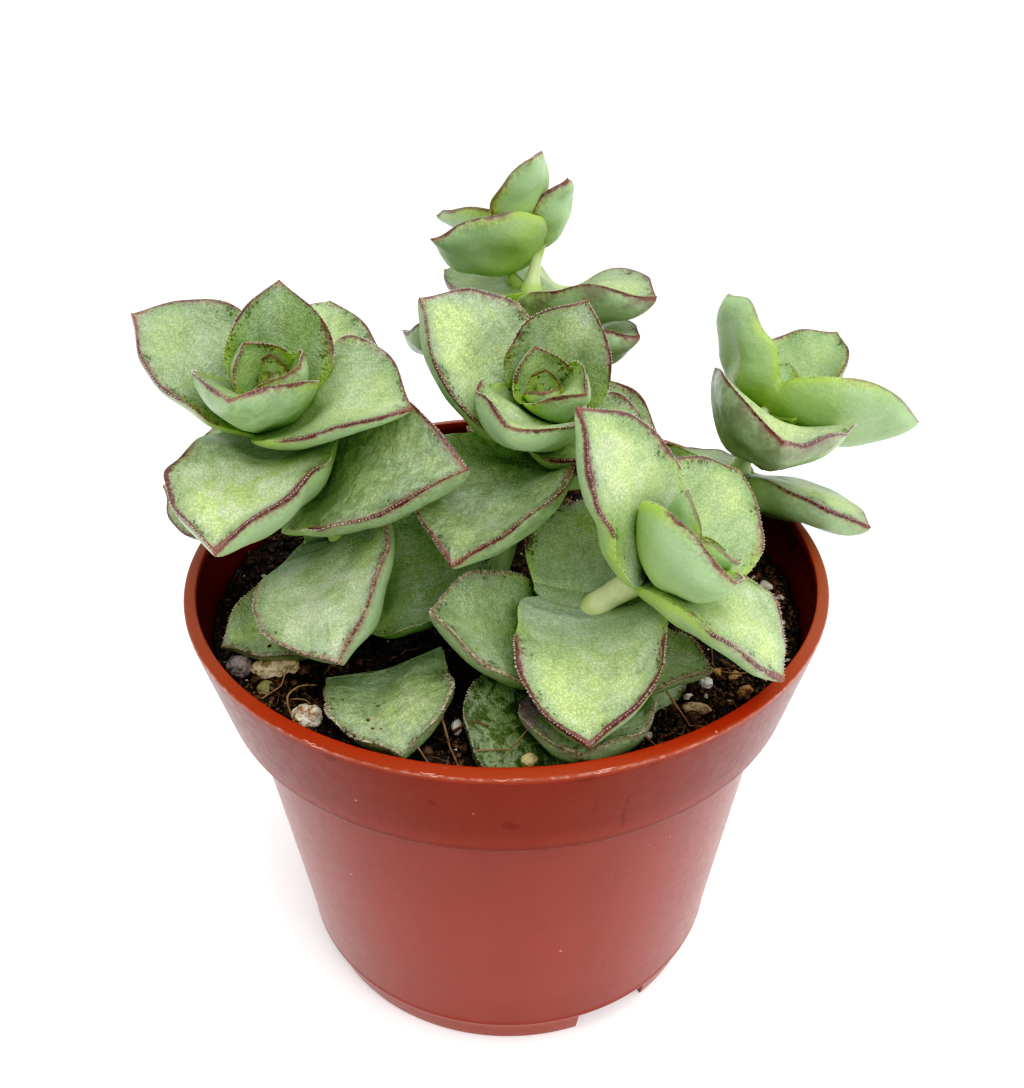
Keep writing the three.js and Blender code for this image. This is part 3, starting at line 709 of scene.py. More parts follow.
def effect(name, output="Mask", kind="NodeSocketFloat", **amounts):
    """Makes a function that wires an effect into one that uses its node group, built when first used."""
    def wrap(fill):
        def use(place, *given):
            tree = bpy.data.node_groups.get(name)
            if tree is None:
                tree = bpy.data.node_groups.new(name, "ShaderNodeTree")
                tree.interface.new_socket(name="Place", in_out="INPUT", socket_type="NodeSocketVector")
                for amount, default in amounts.items():
                    socket = tree.interface.new_socket(name=amount.capitalize().replace("_", " "),
                                                       in_out="INPUT", socket_type="NodeSocketFloat")
                    socket.default_value = default
                tree.interface.new_socket(name=output, in_out="OUTPUT", socket_type=kind)
                wiring = Wiring(tree)
                sockets = tree.nodes.new("NodeGroupInput").outputs[:len(amounts) + 1]
                filled = fill(*(Value(wiring, socket) for socket in sockets))
                wiring.feed(tree.nodes.new("NodeGroupOutput").inputs[0], filled)
            values = (place, *given, *tuple(amounts.values())[len(given):])
            return place.wiring.out("Group", dict(enumerate(values)), node_tree=tree)
        use.__doc__ = fill.__doc__
        return use
    return wrap


@effect("specks", size=1.0, amount=0.3, softness=0.1)
def specks(place, size, amount, softness):
    """Scattered round specks of uneven size."""
    distance, colour = place.cells(1 / MM / size)
    return (amount - colour.red() - distance).ease(0.0, softness)


@effect("mottle", size=5.0, contrast=1.0)
def mottle(place, size, contrast):
    """Cloudy patches with a finer grain in them, from 0 to 1."""
    inputs = {"Vector": place, "Scale": 1 / MM / size, "Detail": 5.0, "Roughness": 0.62}
    cloud = place.wiring.out("TexNoise", inputs, "Fac") - 0.5
    return (cloud * (contrast * 2.2)).math("ADD", 0.5, clamp=True)


@effect("surface grain", "Normal", "NodeSocketVector",
        coarse_size=3.0, fine_size=0.4, coarse_height=0.05, fine_height=0.02)
def grain_bump(place, coarse_size, fine_size, coarse_height, fine_height):
    """A surface grain: coarse swells and a fine roughness, as one normal."""
    coarse, fine = (
        place.wiring.out("TexNoise", {"Vector": place, "Scale": 1 / MM / size, "Detail": 2.0}, "Fac") * height
        for size, height in ((coarse_size, coarse_height), (fine_size, fine_height))
    )
    return (coarse + fine).bump(1.0, 1.0)


def new_material(name):
    """The wiring of an empty material."""
    material = bpy.data.materials.new(name)
    material.use_nodes = True
    material.node_tree.nodes.clear()
    return Wiring(material.node_tree, material)


# ------------------------------------------------------------------ finishes
LEAF_VALUES = ("margin", "along", "under", "lengthwise", "crosswise", "age", "plum", "crust", "wither", "wet",
               "glow", "warmth", "blush", "wax")


def leaf_material(settings):
    """Fleshy leaf: waxy green, yellow flush, dark dots near a plum margin, scurf on old edges."""
    wiring = new_material("succulent leaf")
    place = wiring.place()
    (margin, along, under, lengthwise, crosswise, age, plum, crust, wither, wet, glow, warmth, blush,
     wax) = map(wiring.kept, LEAF_VALUES)
    grown, upper = age.ease(0.0, 0.35, 0.25, 1.0), 1.0 - under
    streak = vector(lengthwise * 0.2, crosswise, warmth).noise(1.0, 4, 0.6)
    wrinkle = vector(lengthwise, crosswise * 0.3, warmth).noise(2.6, 3, 0.5, 0.6)
    broad, cloud, grain = mottle(place, 11.0, 1.4), mottle(place, 4.5, 1.1), mottle(place, 0.6, 1.0)
    papillae, _ = place.cells(1 / (0.36 * MM))

    limed = (margin.ease(2.9, 0.2) * (along + age.ease(0.2, 0.6, -0.3, 0)).ease(0.62, 0.3)
             * age.ease(1.0, 0.3, 0.15))
    limed = limed | along.ease(0.75, 0.1) * under.ease(0, 1, 0.25, 0.7) * broad.ease(0.2, 0.8, 0.45)
    limed = limed | along.ease(0.28, 0.04) * 0.65 * crust.ease(0.2, 0.8, 1.0, 0.0)
    near_margin = margin.ease(4.0, 0.2) * along.ease(0.05, 0.45)
    crowd = near_margin * cloud.ease(0.25, 0.8, 0.55, 1.1) + cloud.ease(0.5, 0.95, 0.0, 0.35)

    ragged = margin + place.noise(0.8, 4).ease(0.2, 0.8, -0.26, 0.26)
    width = place.noise(5.0, 1).ease(0.3, 0.7, 0.16, 0.56) + along.ease(0.5, 1.0, 0.0, 0.2)
    beyond_line = ragged - (width + plum.ease(1.0, 1.5, 0.0, 0.45))
    fade = (along + broad.ease(0, 1, -0.12, 0.12)
            + (age.ease(0.2, 0.55, -0.24, 0.0) + age.ease(0.14, 0.24, 0.45, 0)))
    reach, strength = fade.ease(0.28, 0.46), plum.math("MINIMUM", 1.0)
    edge = layered(
        along.ease(0.86, 1.0).blend(settings.plum, settings.russet),
        (crust.ease(0.1, 0.7), settings.russet),
        (grain.ease(0.45, 0.9, 0.0, 0.55), settings.blushed),
    )
    scurfed = crust * margin.ease(1.7, 0.2) * along.ease(0.2, 0.5) * grain.ease(0.42, 0.62)

    colour = layered(
        age.ease(0.15, 0.75).blend(settings.young, settings.flesh),
        (warmth * 0.3, settings.glow),
        # shade near the stem, then olive clouds
        (along.ease(0.65, 0.05) * upper * grown * cloud.ease(0.1, 0.9, 0.12, 0.45), settings.deep),
        (cloud.ease(0.5, 0.95) * age.ease(0.0, 0.6, 0.25, 0.7) * upper * margin.ease(0.5, 7.0, 1.0, 0.35),
         settings.deep),
        (broad.ease(0.3, 0.75) * streak.ease(0.35, 0.6, 0.35) * age.ease(0.1, 0.7, 0.25, 0.85),
         settings.bloom),
        (under * cloud.ease(0.0, 0.9, 0.5, 0.9), settings.below),
        # the yellow-green flush, turned up by glow on some leaves as painted light where they lie in shade
        (along.ease(0.2, 0.72) * margin.ease(0.5, 5.5) * broad.ease(0.9, 0.35, 0.35, 0.9)
         * cloud.ease(0.9, 0.3, 0.55) * glow * upper, settings.glow),
        (limed, settings.lime),
        # a pale base that is partly waxy bloom and partly painted light where the base lies in shade, grain,
        # veins, and pale dust that is partly a painted highlight
        (along.ease(0.42, 0.08) * wax.ease(0.28, 0.6) * upper * cloud.ease(0.1, 0.8, 0.6, 0.95),
         settings.bloom),
        (grain.ease(0.45, 0.95) * upper.ease(0, 1, 0.08, 0.24), settings.deep),
        (grain.ease(0.45, 0.05) * 0.14, settings.glow),
        (streak.ease(0.5, 0.3) * age.ease(0.1, 0.8, 0.1, 0.28) * upper, settings.deep),
        (wax * upper * place.noise(7.0, 4, 0.6, 0.8).ease(0.42, 0.66) * along.ease(0.1, 0.4)
         * margin.ease(0.6, 3.0, 0.3) * 0.75, settings.wax),
        # pits between the papillae, painted glints, a flush below, soaked patches that are also painted
        # shade, and dots
        (papillae.ease(0.2, 0.62) * upper.ease(0, 1, 0.1, 0.38) * grown, settings.deep),
        (specks(place, 0.42, 0.55, 0.25) * upper * 0.28, settings.scurf),
        (blush * under * cloud.ease(0.15, 0.75) * margin.ease(8.0, 1.0, 0.4, 0.9), settings.plum),
        (wet * place.noise(2.0, 3, 0.6, 0.8).ease(0.44, 0.56, 0.45), settings.dot),
        (specks(place, 0.5, crowd * upper, 0.2) * 0.8, settings.dot),
        # the red margin: a soft halo, the line and a haze of it
        (beyond_line.ease(1.1, -0.1) * reach * strength * broad.ease(0.2, 0.8, 0.15, 0.5), settings.blushed),
        (beyond_line.ease(0.32, -0.2) * reach * strength, edge),
        (margin.ease(3.0, 0.3) * reach * strength * grain.ease(0.35, 0.75) * broad.ease(0.3, 0.8, 0.15, 0.6),
         edge),
        # a withered corner and old scurf
        ((wither + cloud.ease(0, 1, -0.3, 0.3)).ease(0.35, 0.6),
         grain.blend(paint("7d6a70"), paint("aca2a2"))),
        (scurfed, settings.scurf),
    )
    swell, folded = place.noise(3.6, 3) * 0.4, wrinkle * age.ease(0.3, 1.0, 0.1, 0.45) * upper
    height = papillae * upper.ease(0, 1, 0.3, 1) * 0.09 + (swell + folded + scurfed * 0.3)
    return wiring.finish(base_color=colour, roughness=cloud.ease(0.1, 0.9, 0.34, 0.5) + wet * -0.12,
                         subsurface_weight=0.3, subsurface_radius=(0.6, 1.0, 0.3), subsurface_scale=2.0 * MM,
                         normal=height.bump(1.0, 1.0))


def stem_material(settings):
    """Pale, faintly striped stem."""
    wiring = new_material("succulent stem")
    place = wiring.place()
    cloud = mottle(place, 2.5)
    paleness = wiring.kept("glow") * cloud.ease(0.3, 0.9, 1.0, 0.7)
    colour = layered(settings.below, (paleness, settings.stem),
                     (wiring.kept("along").ease(0.05, 0.7, 0.0, 0.7), settings.lime))
    return wiring.finish(base_color=colour, roughness=cloud.ease(0, 1, 0.42, 0.55), subsurface_weight=0.25,
                         subsurface_radius=(0.7, 1.0, 0.3), subsurface_scale=1.8 * MM,
                         normal=place.noise(0.8, 3).bump(0.4, 0.12))


def tooth_material():
    """Glassy pale teeth of the margin."""
    wiring = new_material("leaf fringe")
    shade = wiring.place().noise(1.5, 2)
    return wiring.finish(base_color=shade.blend(paint("f0efe0"), paint("c9b8a4")),
                         roughness=shade.ease(0.3, 0.7, 0.3, 0.45), normal=shade.bump(0.2, 0.05))


def plastic_material(settings):
    """Moulded terracotta-red plastic with water marks, drips, specks and a scuffed lip."""
    wiring = new_material("pot plastic")
    place = wiring.place()
    across, deep, height = place.moved("SUBTRACT", tuple(POT_AXIS)).axes()
    radius = (across.math("POWER", 2.0) + deep.math("POWER", 2.0)).math("SQRT")
    wall_place = vector(deep.math("ARCTAN2", across) * 0.048, radius, height)
    drip_place, scratch_place = (wall_place.moved("MULTIPLY", (1.0, 1.0, s)) for s in (0.16, 9.0))
    rim, top, collar = mm(settings.rim_radius), mm(settings.rim_height), COLLAR_FOOT_HEIGHT
    cloud, fine = mottle(place, 14.0), mottle(place, 1.6)
    on_rim = height.ease_mm(top - 1.9, top - 0.9)
    on_collar = height.ease_mm(collar + 1, collar + 6) * (1.0 - on_rim)

    # dried drops with a darker edge, and smears
    drift = wall_place.noise(2.2, roughness=0.5, output="Color")
    shifted = drift.moved("MULTIPLY_ADD", (1.8 * MM,) * 3, wall_place)
    middle, drop = shifted.cells(1 / (4.6 * MM))
    far_out = middle - drop.red().ease(0.45, 1.0, -0.12, 0.3)
    blots = far_out.ease(0.05, -0.05, 0, 0.55)
    dried_edge = far_out.ease(0.05, 0.0) * far_out.ease(-0.12, -0.02) * 0.65
    smears = drip_place.noise(2.4, 3, 0.6).ease(0.66, 0.72, 0, 0.7)
    marks = (smears | blots | dried_edge) * on_collar.ease(0, 1, 0.06, 0.75)

    # pale specks, scratches, a painted highlight along the lip's outer edge broken by a fine mottle, and the
    # seam above the foot
    scuffed = scratch_place.noise(2.4, 5, 0.7).ease(0.66, 0.74) * on_rim
    lip = (height.ease_mm(top - 1.1, top - 0.7) * radius.ease_mm(rim - 0.22, rim - 0.06)
           * fine.ease(0.35, 0.8, 0.2))
    seam = (height.ease_mm(FOOT_HEIGHT - 0.55, FOOT_HEIGHT - 0.2)
            * height.ease_mm(FOOT_HEIGHT + 0.35, FOOT_HEIGHT))
    pale = specks(place, 1.9, 0.14, 0.04) * 0.55 | scuffed * 0.3 | (lip * 0.42 | seam * 0.2)
    colour = layered(
        settings.plastic,
        (cloud.ease(0.2, 0.9, 0.0, 0.1), settings.stain_and_shade),
        # painted shade: the body darker towards its top, under the collar's overhang
        (height.ease_mm(28, collar, 0.0, 0.2), settings.stain_and_shade),
        (on_rim, settings.rim_plastic),
        # painted sheen on the lip's sides and back, fading in away from the front
        (on_rim * deep.ease_mm(-44, -18, 0, 0.36), settings.painted_rim_sheen),
        # painted shade over the collar
        (on_collar * 0.33, settings.stain_and_shade),
        (marks, settings.stain_and_shade),
        (drip_place.noise(9.0, 4).ease(0.45, 0.8, 0.0, 0.12), settings.stain_and_shade),
        (height.ease_mm(FOOT_HEIGHT + 0.1, FOOT_HEIGHT - 0.5) * 0.7, settings.rim_plastic),
        # painted shade on the collar's rounded lower edge, damping the light it catches from below
        (height.ease_mm(collar - 0.4, collar) * height.ease_mm(collar + 2.5, collar + 0.8) * 0.4,
         settings.stain_and_shade),
        (pale, settings.scuff_and_highlight),
    )
    ledge = height.ease_mm(collar - 0.9, collar - 0.4) * height.ease_mm(collar + 1.8, collar + 0.9)
    gloss = wiring.out("LayerWeight", output="Facing").ease(0.45, 1.0, 0.0, 0.46) * ledge.ease(0, 1, 1.0, 0.1)
    body = height.ease_mm(collar - 0.5, collar - 2) | on_rim * 0.6
    return wiring.finish(
        base_color=colour, roughness=fine.ease(0.1, 0.9, 0.3, 0.4) + marks * 0.12, ior=1.45,
        specular_ior_level=0.1, coat_weight=gloss + body * 0.35, coat_roughness=0.42, coat_ior=1.5,
        normal=grain_bump(place, 14.0, 0.5, 0.06, 0.01), subsurface_weight=0.05,
        subsurface_radius=(1.0, 0.3, 0.2), subsurface_scale=1.5 * MM,
    )


def peat_material(settings):
    """Dark damp peat."""
    wiring = new_material("damp peat")
    place = wiring.place()
    cloud = mottle(place, 4.0, 1.4)
    dryness = (cloud * 0.14).math("ADD", wiring.kept("tone"), clamp=True)
    colour = layered(settings.peat, (dryness, settings.peat_dry),
                     (mottle(place, 0.7, 1.4).ease(0.62, 0.95, 0, 0.5), settings.fibre))
    return wiring.finish(base_color=colour, roughness=cloud.ease(0, 1, 0.55, 0.9),
                         normal=grain_bump(place, 1.2, 0.25, 0.5, 0.16))


def fibre_material(settings):
    """Rootlets and shreds of bark."""
    wiring = new_material("root fibre")
    grain = mottle(wiring.place(), 0.8, 1.2)
    colour = layered(settings.peat_dry, (wiring.kept("tone"), settings.fibre),
                     (grain.ease(0.4, 0.9, 0, 0.5), settings.peat))
    return wiring.finish(
        base_color=colour, roughness=grain.ease(0, 1, 0.6, 0.85), normal=grain.bump(0.5, 0.06),
    )


def grain_material(name, pale, dark):
    """Porous perlite or flaky bark."""
    wiring = new_material(name)
    place = wiring.place()
    cloud, pores = mottle(place, 1.6, 1.5), specks(place, 0.6, 0.5, 0.2)
    colour = layered(pale, (cloud.ease(0.35, 0.95), dark), (pores * 0.6, dark))
    return wiring.finish(base_color=colour, roughness=cloud.ease(0, 1, 0.75, 0.95),
                         normal=(cloud * 0.4 - pores * 0.35).bump(0.8, 0.5))


# ------------------------------------------------------------------ pot
def pot_profile(settings):
    """[radius, height] points from the middle of the underside round to the middle of the floor inside."""
    rim, top = mm(settings.rim_radius), mm(settings.rim_height)
    width, wall = mm(settings.rim_width), mm(settings.wall)
    floor_under = FOOT_HEIGHT - 0.1
    floor_top = floor_under + FLOOR_THICKNESS
    ledge = COLLAR_FOOT_HEIGHT + 0.6

    def body_inside(height):
        share = (height - FOOT_HEIGHT) / (COLLAR_FOOT_HEIGHT - FOOT_HEIGHT)
        return BODY_BOTTOM_RADIUS + share * (BODY_TOP_RADIUS - BODY_BOTTOM_RADIUS) - wall

    return filleted([
        (0, floor_under),
        (FOOT_RADIUS - wall + 0.4, floor_under),
        (FOOT_RADIUS - wall, 0),
        (FOOT_RADIUS, 0),
        (BODY_BOTTOM_RADIUS - 0.9, FOOT_HEIGHT - 0.7),
        (BODY_BOTTOM_RADIUS + 0.12, FOOT_HEIGHT - 0.1),
        (BODY_BOTTOM_RADIUS + 0.1, FOOT_HEIGHT + 1),
        (BODY_BOTTOM_RADIUS + 0.95, FOOT_HEIGHT + 7.6),
        (BODY_TOP_RADIUS, COLLAR_FOOT_HEIGHT - 0.2),
        (COLLAR_FOOT_RADIUS - 0.3, COLLAR_FOOT_HEIGHT),
        (COLLAR_FOOT_RADIUS + 0.05, COLLAR_FOOT_HEIGHT + 0.7),
        (rim - 0.15, top - RIM_SLOPE - 1.2),
        (rim, top - RIM_SLOPE),
        (rim - width, top),
        (rim - width, top - 2.5),
        (COLLAR_FOOT_RADIUS - wall + 0.25, ledge + 0.5),
        (body_inside(ledge), ledge),
        (body_inside(floor_top), floor_top),
        (0, floor_top),
    ], CORNER_RADIUS)


def prism(outline, low, high):
    """A closed upright prism over an outline, for cutting."""
    shape = bmesh.new()
    rings = [[shape.verts.new(Vector((x, y, z)) * MM + POT_AXIS) for x, y, _ in outline] for z in (low, high)]
    for i in range(len(outline)):
        j = (i + 1) % len(outline)
        shape.faces.new((rings[0][i], rings[0][j], rings[1][j], rings[1][i]))
    shape.faces.new(reversed(rings[0]))
    shape.faces.new(rings[1])
    mesh = bpy.data.meshes.new("cutter")
    shape.to_mesh(mesh)
    shape.free()
    cutter = bpy.data.objects.new("cutter", mesh)
    bpy.context.scene.collection.objects.link(cutter)
    return cutter


def cut_away(piece, cutters):
    """Cuts shapes out of a piece's mesh for good."""
    for cutter in cutters:
        modifier = piece.modifiers.new("cut", "BOOLEAN")
        modifier.operation, modifier.solver, modifier.object = "DIFFERENCE", "EXACT", cutter
    cut = bpy.data.meshes.new_from_object(piece.evaluated_get(bpy.context.evaluated_depsgraph_get()))
    piece.modifiers.clear()
    piece.data = cut
    for cutter in cutters:
        bpy.data.objects.remove(cutter)


class POTTED_OT_pot(bpy.types.Operator):
    """Add the nursery pot, with its notched foot and drain holes"""
    bl_idname = "potted.pot"
    bl_label = "Pot"

    def execute(self, context):
        settings = context.scene.potted_pot
        profile = subdivided(pot_profile(settings), LONGEST_STRETCH)
        angles = np.linspace(0, FULL_TURN, POT_SEGMENTS, endpoint=False)
        rings = []
        for radius, height in profile[1:-1]:
            sway = (1 + 0.0009 * np.sin(2 * angles + 0.6 + height * 0.01)
                    + 0.0006 * np.sin(5 * angles + height * 0.03))
            rings.append(round_points(radius * sway, angles, height))
        shell = Shells()
        shell.add_body(rings, [(0, 0, profile[end][1]) for end in (0, -1)])
        pot = shell.piece("nursery_pot", [plastic_material(settings)], "pot_plastic", "pot")
        half, (near, far) = NOTCH_WIDTH / 2, NOTCH_REACH
        notch = np.array([(near, -half, 0), (far, -half, 0), (far, half, 0), (near, half, 0)])
        cutters = [prism(turn_about_z(notch, degrees), *NOTCH_CUT) for degrees in NOTCH_ANGLES]
        hole = round_points(DRAIN_RADIUS, np.linspace(0, FULL_TURN, DRAIN_SEGMENTS, endpoint=False), 0)
        ring_middle = np.array([DRAIN_RING_RADIUS, 0, 0])
        for middle in ((0, 0, 0), *(turn_about_z(ring_middle, degrees) for degrees in NOTCH_ANGLES)):
            cutters.append(prism(hole + middle, *DRAIN_CUT))
        cut_away(pot, cutters)
        pot.data.shade_smooth()
        pot.data.set_sharp_from_angle(angle=SHARP_EDGE)
        self.add_burrs(mm(settings.rim_radius), mm(settings.rim_height) - RIM_SLOPE)
        return {"FINISHED"}

    def add_burrs(self, rim, top):
        """Thin curled slivers left along the lip's outer edge."""
        random = np.random.default_rng(BURR_SEED)
        shells = Shells()
        for first, last, stand, count in RIM_BURRS:
            for _ in range(count):
                middle, steps = random.uniform(first, last), random.integers(8, 15)
                angles = np.radians(middle + np.linspace(-1, 1, steps) * random.uniform(0.5, 1.5))
                arch = np.sin(np.linspace(0, math.pi, steps))
                radius = rim - 0.1 + arch * random.uniform(0, 0.5) + random.normal(0, 0.05, steps)
                height = top + 0.05 + arch * stand * random.uniform(-0.5, 1) + random.normal(0, 0.05, steps)
                shells.add_tube(round_points(radius, angles, height), BURR_RADIUS * (0.4 + arch), 6)
        wiring = new_material("torn plastic")
        shade = wiring.place().noise(0.8, 2)
        colour = shade.blend(paint("c9806c"), paint("e0ab9a"))
        material = wiring.finish(base_color=colour, roughness=shade.ease(0.2, 0.8, 0.4, 0.6))
        shells.piece("rim_burrs", [material], "pot_plastic")


# ------------------------------------------------------------------ leaves and stems
def half_width_share(along, base_share, shoulder):
    """Half width along a leaf: broad shoulders, then a small drawn-out tip."""
    near = base_share + (1 - base_share) * np.sin(math.pi / 2 * np.minimum(along, 0.4) / 0.4)
    beyond = np.maximum(along - 0.4, 0) / 0.6
    pinch = 1 - 0.4 * np.clip((beyond - 0.72) / 0.28, 0, 1) ** 1.5
    return np.where(along < 0.4, near, (1 - beyond ** shoulder) * pinch)


def thickness_share(along, across):
    swell = 0.4 + 0.6 * np.sin(math.pi / 2 * np.minimum(along / 0.35, 1))
    towards_tip = np.maximum(0, 1 - along ** 2.6) ** 0.6
    towards_margin = np.maximum(0, 1 - np.abs(across) ** 2.8) ** 0.55
    return swell * towards_tip * towards_margin


def leaf_directions(axis, turn, rise, roll):
    """Out along the midrib, sideways, and up out of the upper face."""
    turn, rise, roll = (math.radians(v) for v in (turn, rise, roll))
    level = np.array([1.0, 0, 0]) - axis * axis[0]
    level /= np.linalg.norm(level)
    heading = level * math.cos(turn) + np.cross(axis, level) * math.sin(turn)
    out = heading * math.cos(rise) + axis * math.sin(rise)
    upright = -heading * math.sin(rise) + axis * math.cos(rise)
    up = upright * math.cos(roll) + np.cross(out, upright) * math.sin(roll)
    return out, np.cross(out, up), up


def ripples(random, count, shortest, longest):
    """Random waves over a leaf's face: a function of millimetres along and across, about -1 to 1."""
    waves = [
        (random.uniform(0, math.pi), FULL_TURN / random.uniform(shortest, longest),
         random.uniform(0, FULL_TURN))
        for _ in range(count)
    ]
    return lambda x, y: sum(
        np.sin(k * (x * math.cos(a) + y * math.sin(a)) + phase) for a, k, phase in waves
    ) / count ** 0.5


def leaf_rings(at, axis, leaf, large, settings, random, marks):
    """Rings of points round one leaf from the stem to the tip, what is kept at each point, its tip, and, for
    its fringe, the leaf's side and up directions and its share of a full size."""
    at = np.array(at) + marks.pop("shift", 0)
    skew, wavy, blunt = marks.pop("skew", 1.0), marks.pop("wavy", 1.0), marks.pop("blunt", 0.2)
    turn, rise, length, width, arch, cup, roll, *shares = leaf
    base_share, fullness = (shares + [BASE_SHARE, FULLNESS][len(shares):])[:2]
    out, side, up = leaf_directions(axis, turn, rise, roll)
    rows, around = LARGE_LEAF_GRID if large else SMALL_LEAF_GRID
    along = 1 - (1 - np.linspace(0, 1, rows + 1)) ** 1.25
    along, angle = np.meshgrid(along, np.linspace(0, FULL_TURN, around, endpoint=False), indexing="ij")
    across, lift = np.cos(angle), np.sin(angle)
    size = min(1.0, length / FULL_LEAF)
    wave = ripples(random, 5, 5 * size + 2, 13 * size + 2)
    edge_wave = ripples(random, 4, 4 * size + 1.5, 9 * size + 2)
    shoulder = np.interp(size, [0.3, 0.6], [1.75, 2.35]) + blunt
    shoulder = shoulder + random.uniform(-0.35, 0.35) * np.sign(across)
    half = width / 2 * half_width_share(along, base_share, shoulder) * np.where(across < 0, skew, 1)
    half = half + (0.22 * wavy * size * edge_wave(length * along, 40 * np.sign(across))
                   * along * (1 - along) * 4)
    face = half * across
    # how far each spot stands off the leaf's plane: arch and cup, ripples, a wavy edge and a bent tip
    bow = 4 * length * arch * along * (1 - along) + cup * half * across ** 2
    bow = bow + 0.42 * wavy * size * wave(length * along, face) * np.minimum(along * 4, 1)
    bow = bow + 0.25 * wavy * size * edge_wave(length * along, 60 * np.sign(across)) * across ** 4 * along
    bow = bow + random.uniform(-0.6, 0.6) * size * np.maximum(along - 0.8, 0) ** 2 / 0.04
    belly = fullness * width * thickness_share(along, across) * (1 + 0.05 * wave(face * 1.3, length * along))
    margin_radius = mm(settings.margin_radius) * size * np.clip((1.02 - along) * 9, 0.35, 1)
    offset = margin_radius * np.abs(lift) ** 0.8 * np.sign(lift) - np.where(lift < 0, belly, 0)
    grid = at + (length * along)[..., None] * out + face[..., None] * side + (bow + offset)[..., None] * up
    # the distance round each ring to the nearer margin
    steps = np.linalg.norm(np.roll(grid, -1, axis=1) - grid, axis=2)
    reach = np.concatenate([np.zeros((rows + 1, 1)), np.cumsum(steps, axis=1)], axis=1)
    whole, middle = reach[:, -1:], reach[:, around // 2:around // 2 + 1]
    reach = reach[:, :-1]
    kept = {
        **{key: np.full(along.shape, value) for key, value in marks.items()},
        "margin": np.minimum(np.minimum(reach, whole - reach), np.abs(reach - middle)),
        "along": along, "lengthwise": length * along * MM, "crosswise": face * MM,
        "under": (lift < -0.02).astype(float),
        "wither": marks["wither"] * np.exp(-((along - 0.45) / 0.3) ** 2 - ((across - 1) / 0.45) ** 2),
    }
    return grid, kept, grid[-1].mean(axis=0) + out * 0.12, (side, up, size)


def joined_rings(first, second, at, axis):
    """Rings that lead from one leaf's base across the stem into the opposite leaf's base, with a crease."""
    start, end = first[BASE_ROW], second[BASE_ROW]
    span = np.linalg.norm(end - start, axis=1, keepdims=True)
    leaving, arriving = (unit(v) * span for v in (first[BASE_ROW - 1] - start, end - second[BASE_ROW - 1]))
    rings = []
    angle = np.linspace(0, FULL_TURN, len(start), endpoint=False)[:, None]
    for t in JOIN_STEPS:
        ring = (start * (1 - t) ** 2 * (1 + 2 * t) + leaving * t * (1 - t) ** 2
                + end * t ** 2 * (3 - 2 * t) - arriving * t ** 2 * (1 - t))
        waist = 1 - CREASE_WAIST * math.exp(-((t - 0.5) / 0.16) ** 2) * np.cos(angle) ** 2
        dip = CREASE_DEPTH * math.exp(-((t - 0.5) / 0.07) ** 2) * np.clip(np.sin(angle), 0, 1) ** 0.3
        rings.append(at + (ring - at) * waist - axis * dip)
    return np.array(rings)


def add_leaves(shells, at, axis, leaves, made):
    """The leaves of one joint: a pair that stands opposite grows together round the stem."""
    apart = abs((leaves[0][0] - leaves[-1][0] + 180) % 360 - 180)
    bodies = []
    if apart < JOINED_ANGLE:
        for grid, kept, tip, _ in made:
            bodies.append((grid[::-1], {key: value[::-1] for key, value in kept.items()},
                           (tip, grid[0].mean(axis=0))))
    else:
        (first, first_kept, first_tip, _), (second, second_kept, second_tip, _) = made
        around = first.shape[1]
        facing = (around // 2 - np.arange(around)) % around
        second = second[:, facing]
        middle = joined_rings(first, second, at, axis)
        rings = np.concatenate([first[:BASE_ROW - 1:-1], middle, second[BASE_ROW:]])
        kept, steps = {}, JOIN_STEPS[:, None]
        for key, value in first_kept.items():
            other = second_kept[key][:, facing]
            shown = (1 - steps) * value[BASE_ROW] + steps * other[BASE_ROW]
            if key in ("along", "lengthwise"):
                shown = shown * np.abs(1 - 2 * steps)
            kept[key] = np.concatenate([value[:BASE_ROW - 1:-1], shown, other[BASE_ROW:]])
        bodies.append((rings, kept, (first_tip, second_tip)))
    for rings, kept, ends in bodies:
        kept = {
            key: np.append(value.ravel(), [value[0].mean(), value[-1].mean()]) for key, value in kept.items()
        }
        shells.add_body(rings, ends, **kept)


def add_teeth(shells, grid, side, up, size, settings, random, marks):
    """The fringe of fine pale teeth on both margins of a leaf."""
    spacing, length, girth = mm(settings.tooth_spacing), mm(settings.tooth_length), TOOTH_RADIUS
    for column, sign in ((0, 1), (grid.shape[1] // 2, -1)):
        edge = grid[:, column]
        steps = np.append(0, np.cumsum(np.linalg.norm(np.diff(edge, axis=0), axis=1)))
        places = np.arange(0.34 * steps[-1], steps[-1] - 0.4, spacing)
        places = places + random.uniform(-0.3, 0.3, len(places)) * spacing
        feet, next_feet = (
            np.stack([np.interp(spots, steps, edge[:, k]) for k in range(3)], -1)
            for spots in (places, places + 0.3)
        )
        ahead = unit(next_feet - feet)
        outward = unit(np.cross(ahead, up) * sign)
        if (outward @ side).mean() * sign < 0:
            outward = -outward
        lean = outward + 0.35 * up + random.normal(0, 0.25, outward.shape)
        tall = (length * (0.55 + 0.45 * size) * random.uniform(0.45, 1.15, len(places)))[:, None]
        foot = feet - outward * 0.08
        corners = np.stack([
            foot + ahead * girth, foot - ahead * girth + up * girth, foot - ahead * girth - up * girth,
            feet + lean * tall,
        ], 1)
        faces = np.array([[0, 1, 3], [1, 2, 3], [2, 0, 3], [0, 2, 1]])
        start = np.arange(len(places))[:, None, None] * 4
        shells.add(corners.reshape(-1, 3), triangles=(faces + start).reshape(-1, 3), material=2,
                   margin=0.0, along=0.5, under=0.0, lengthwise=0.0, crosswise=0.0, **marks)


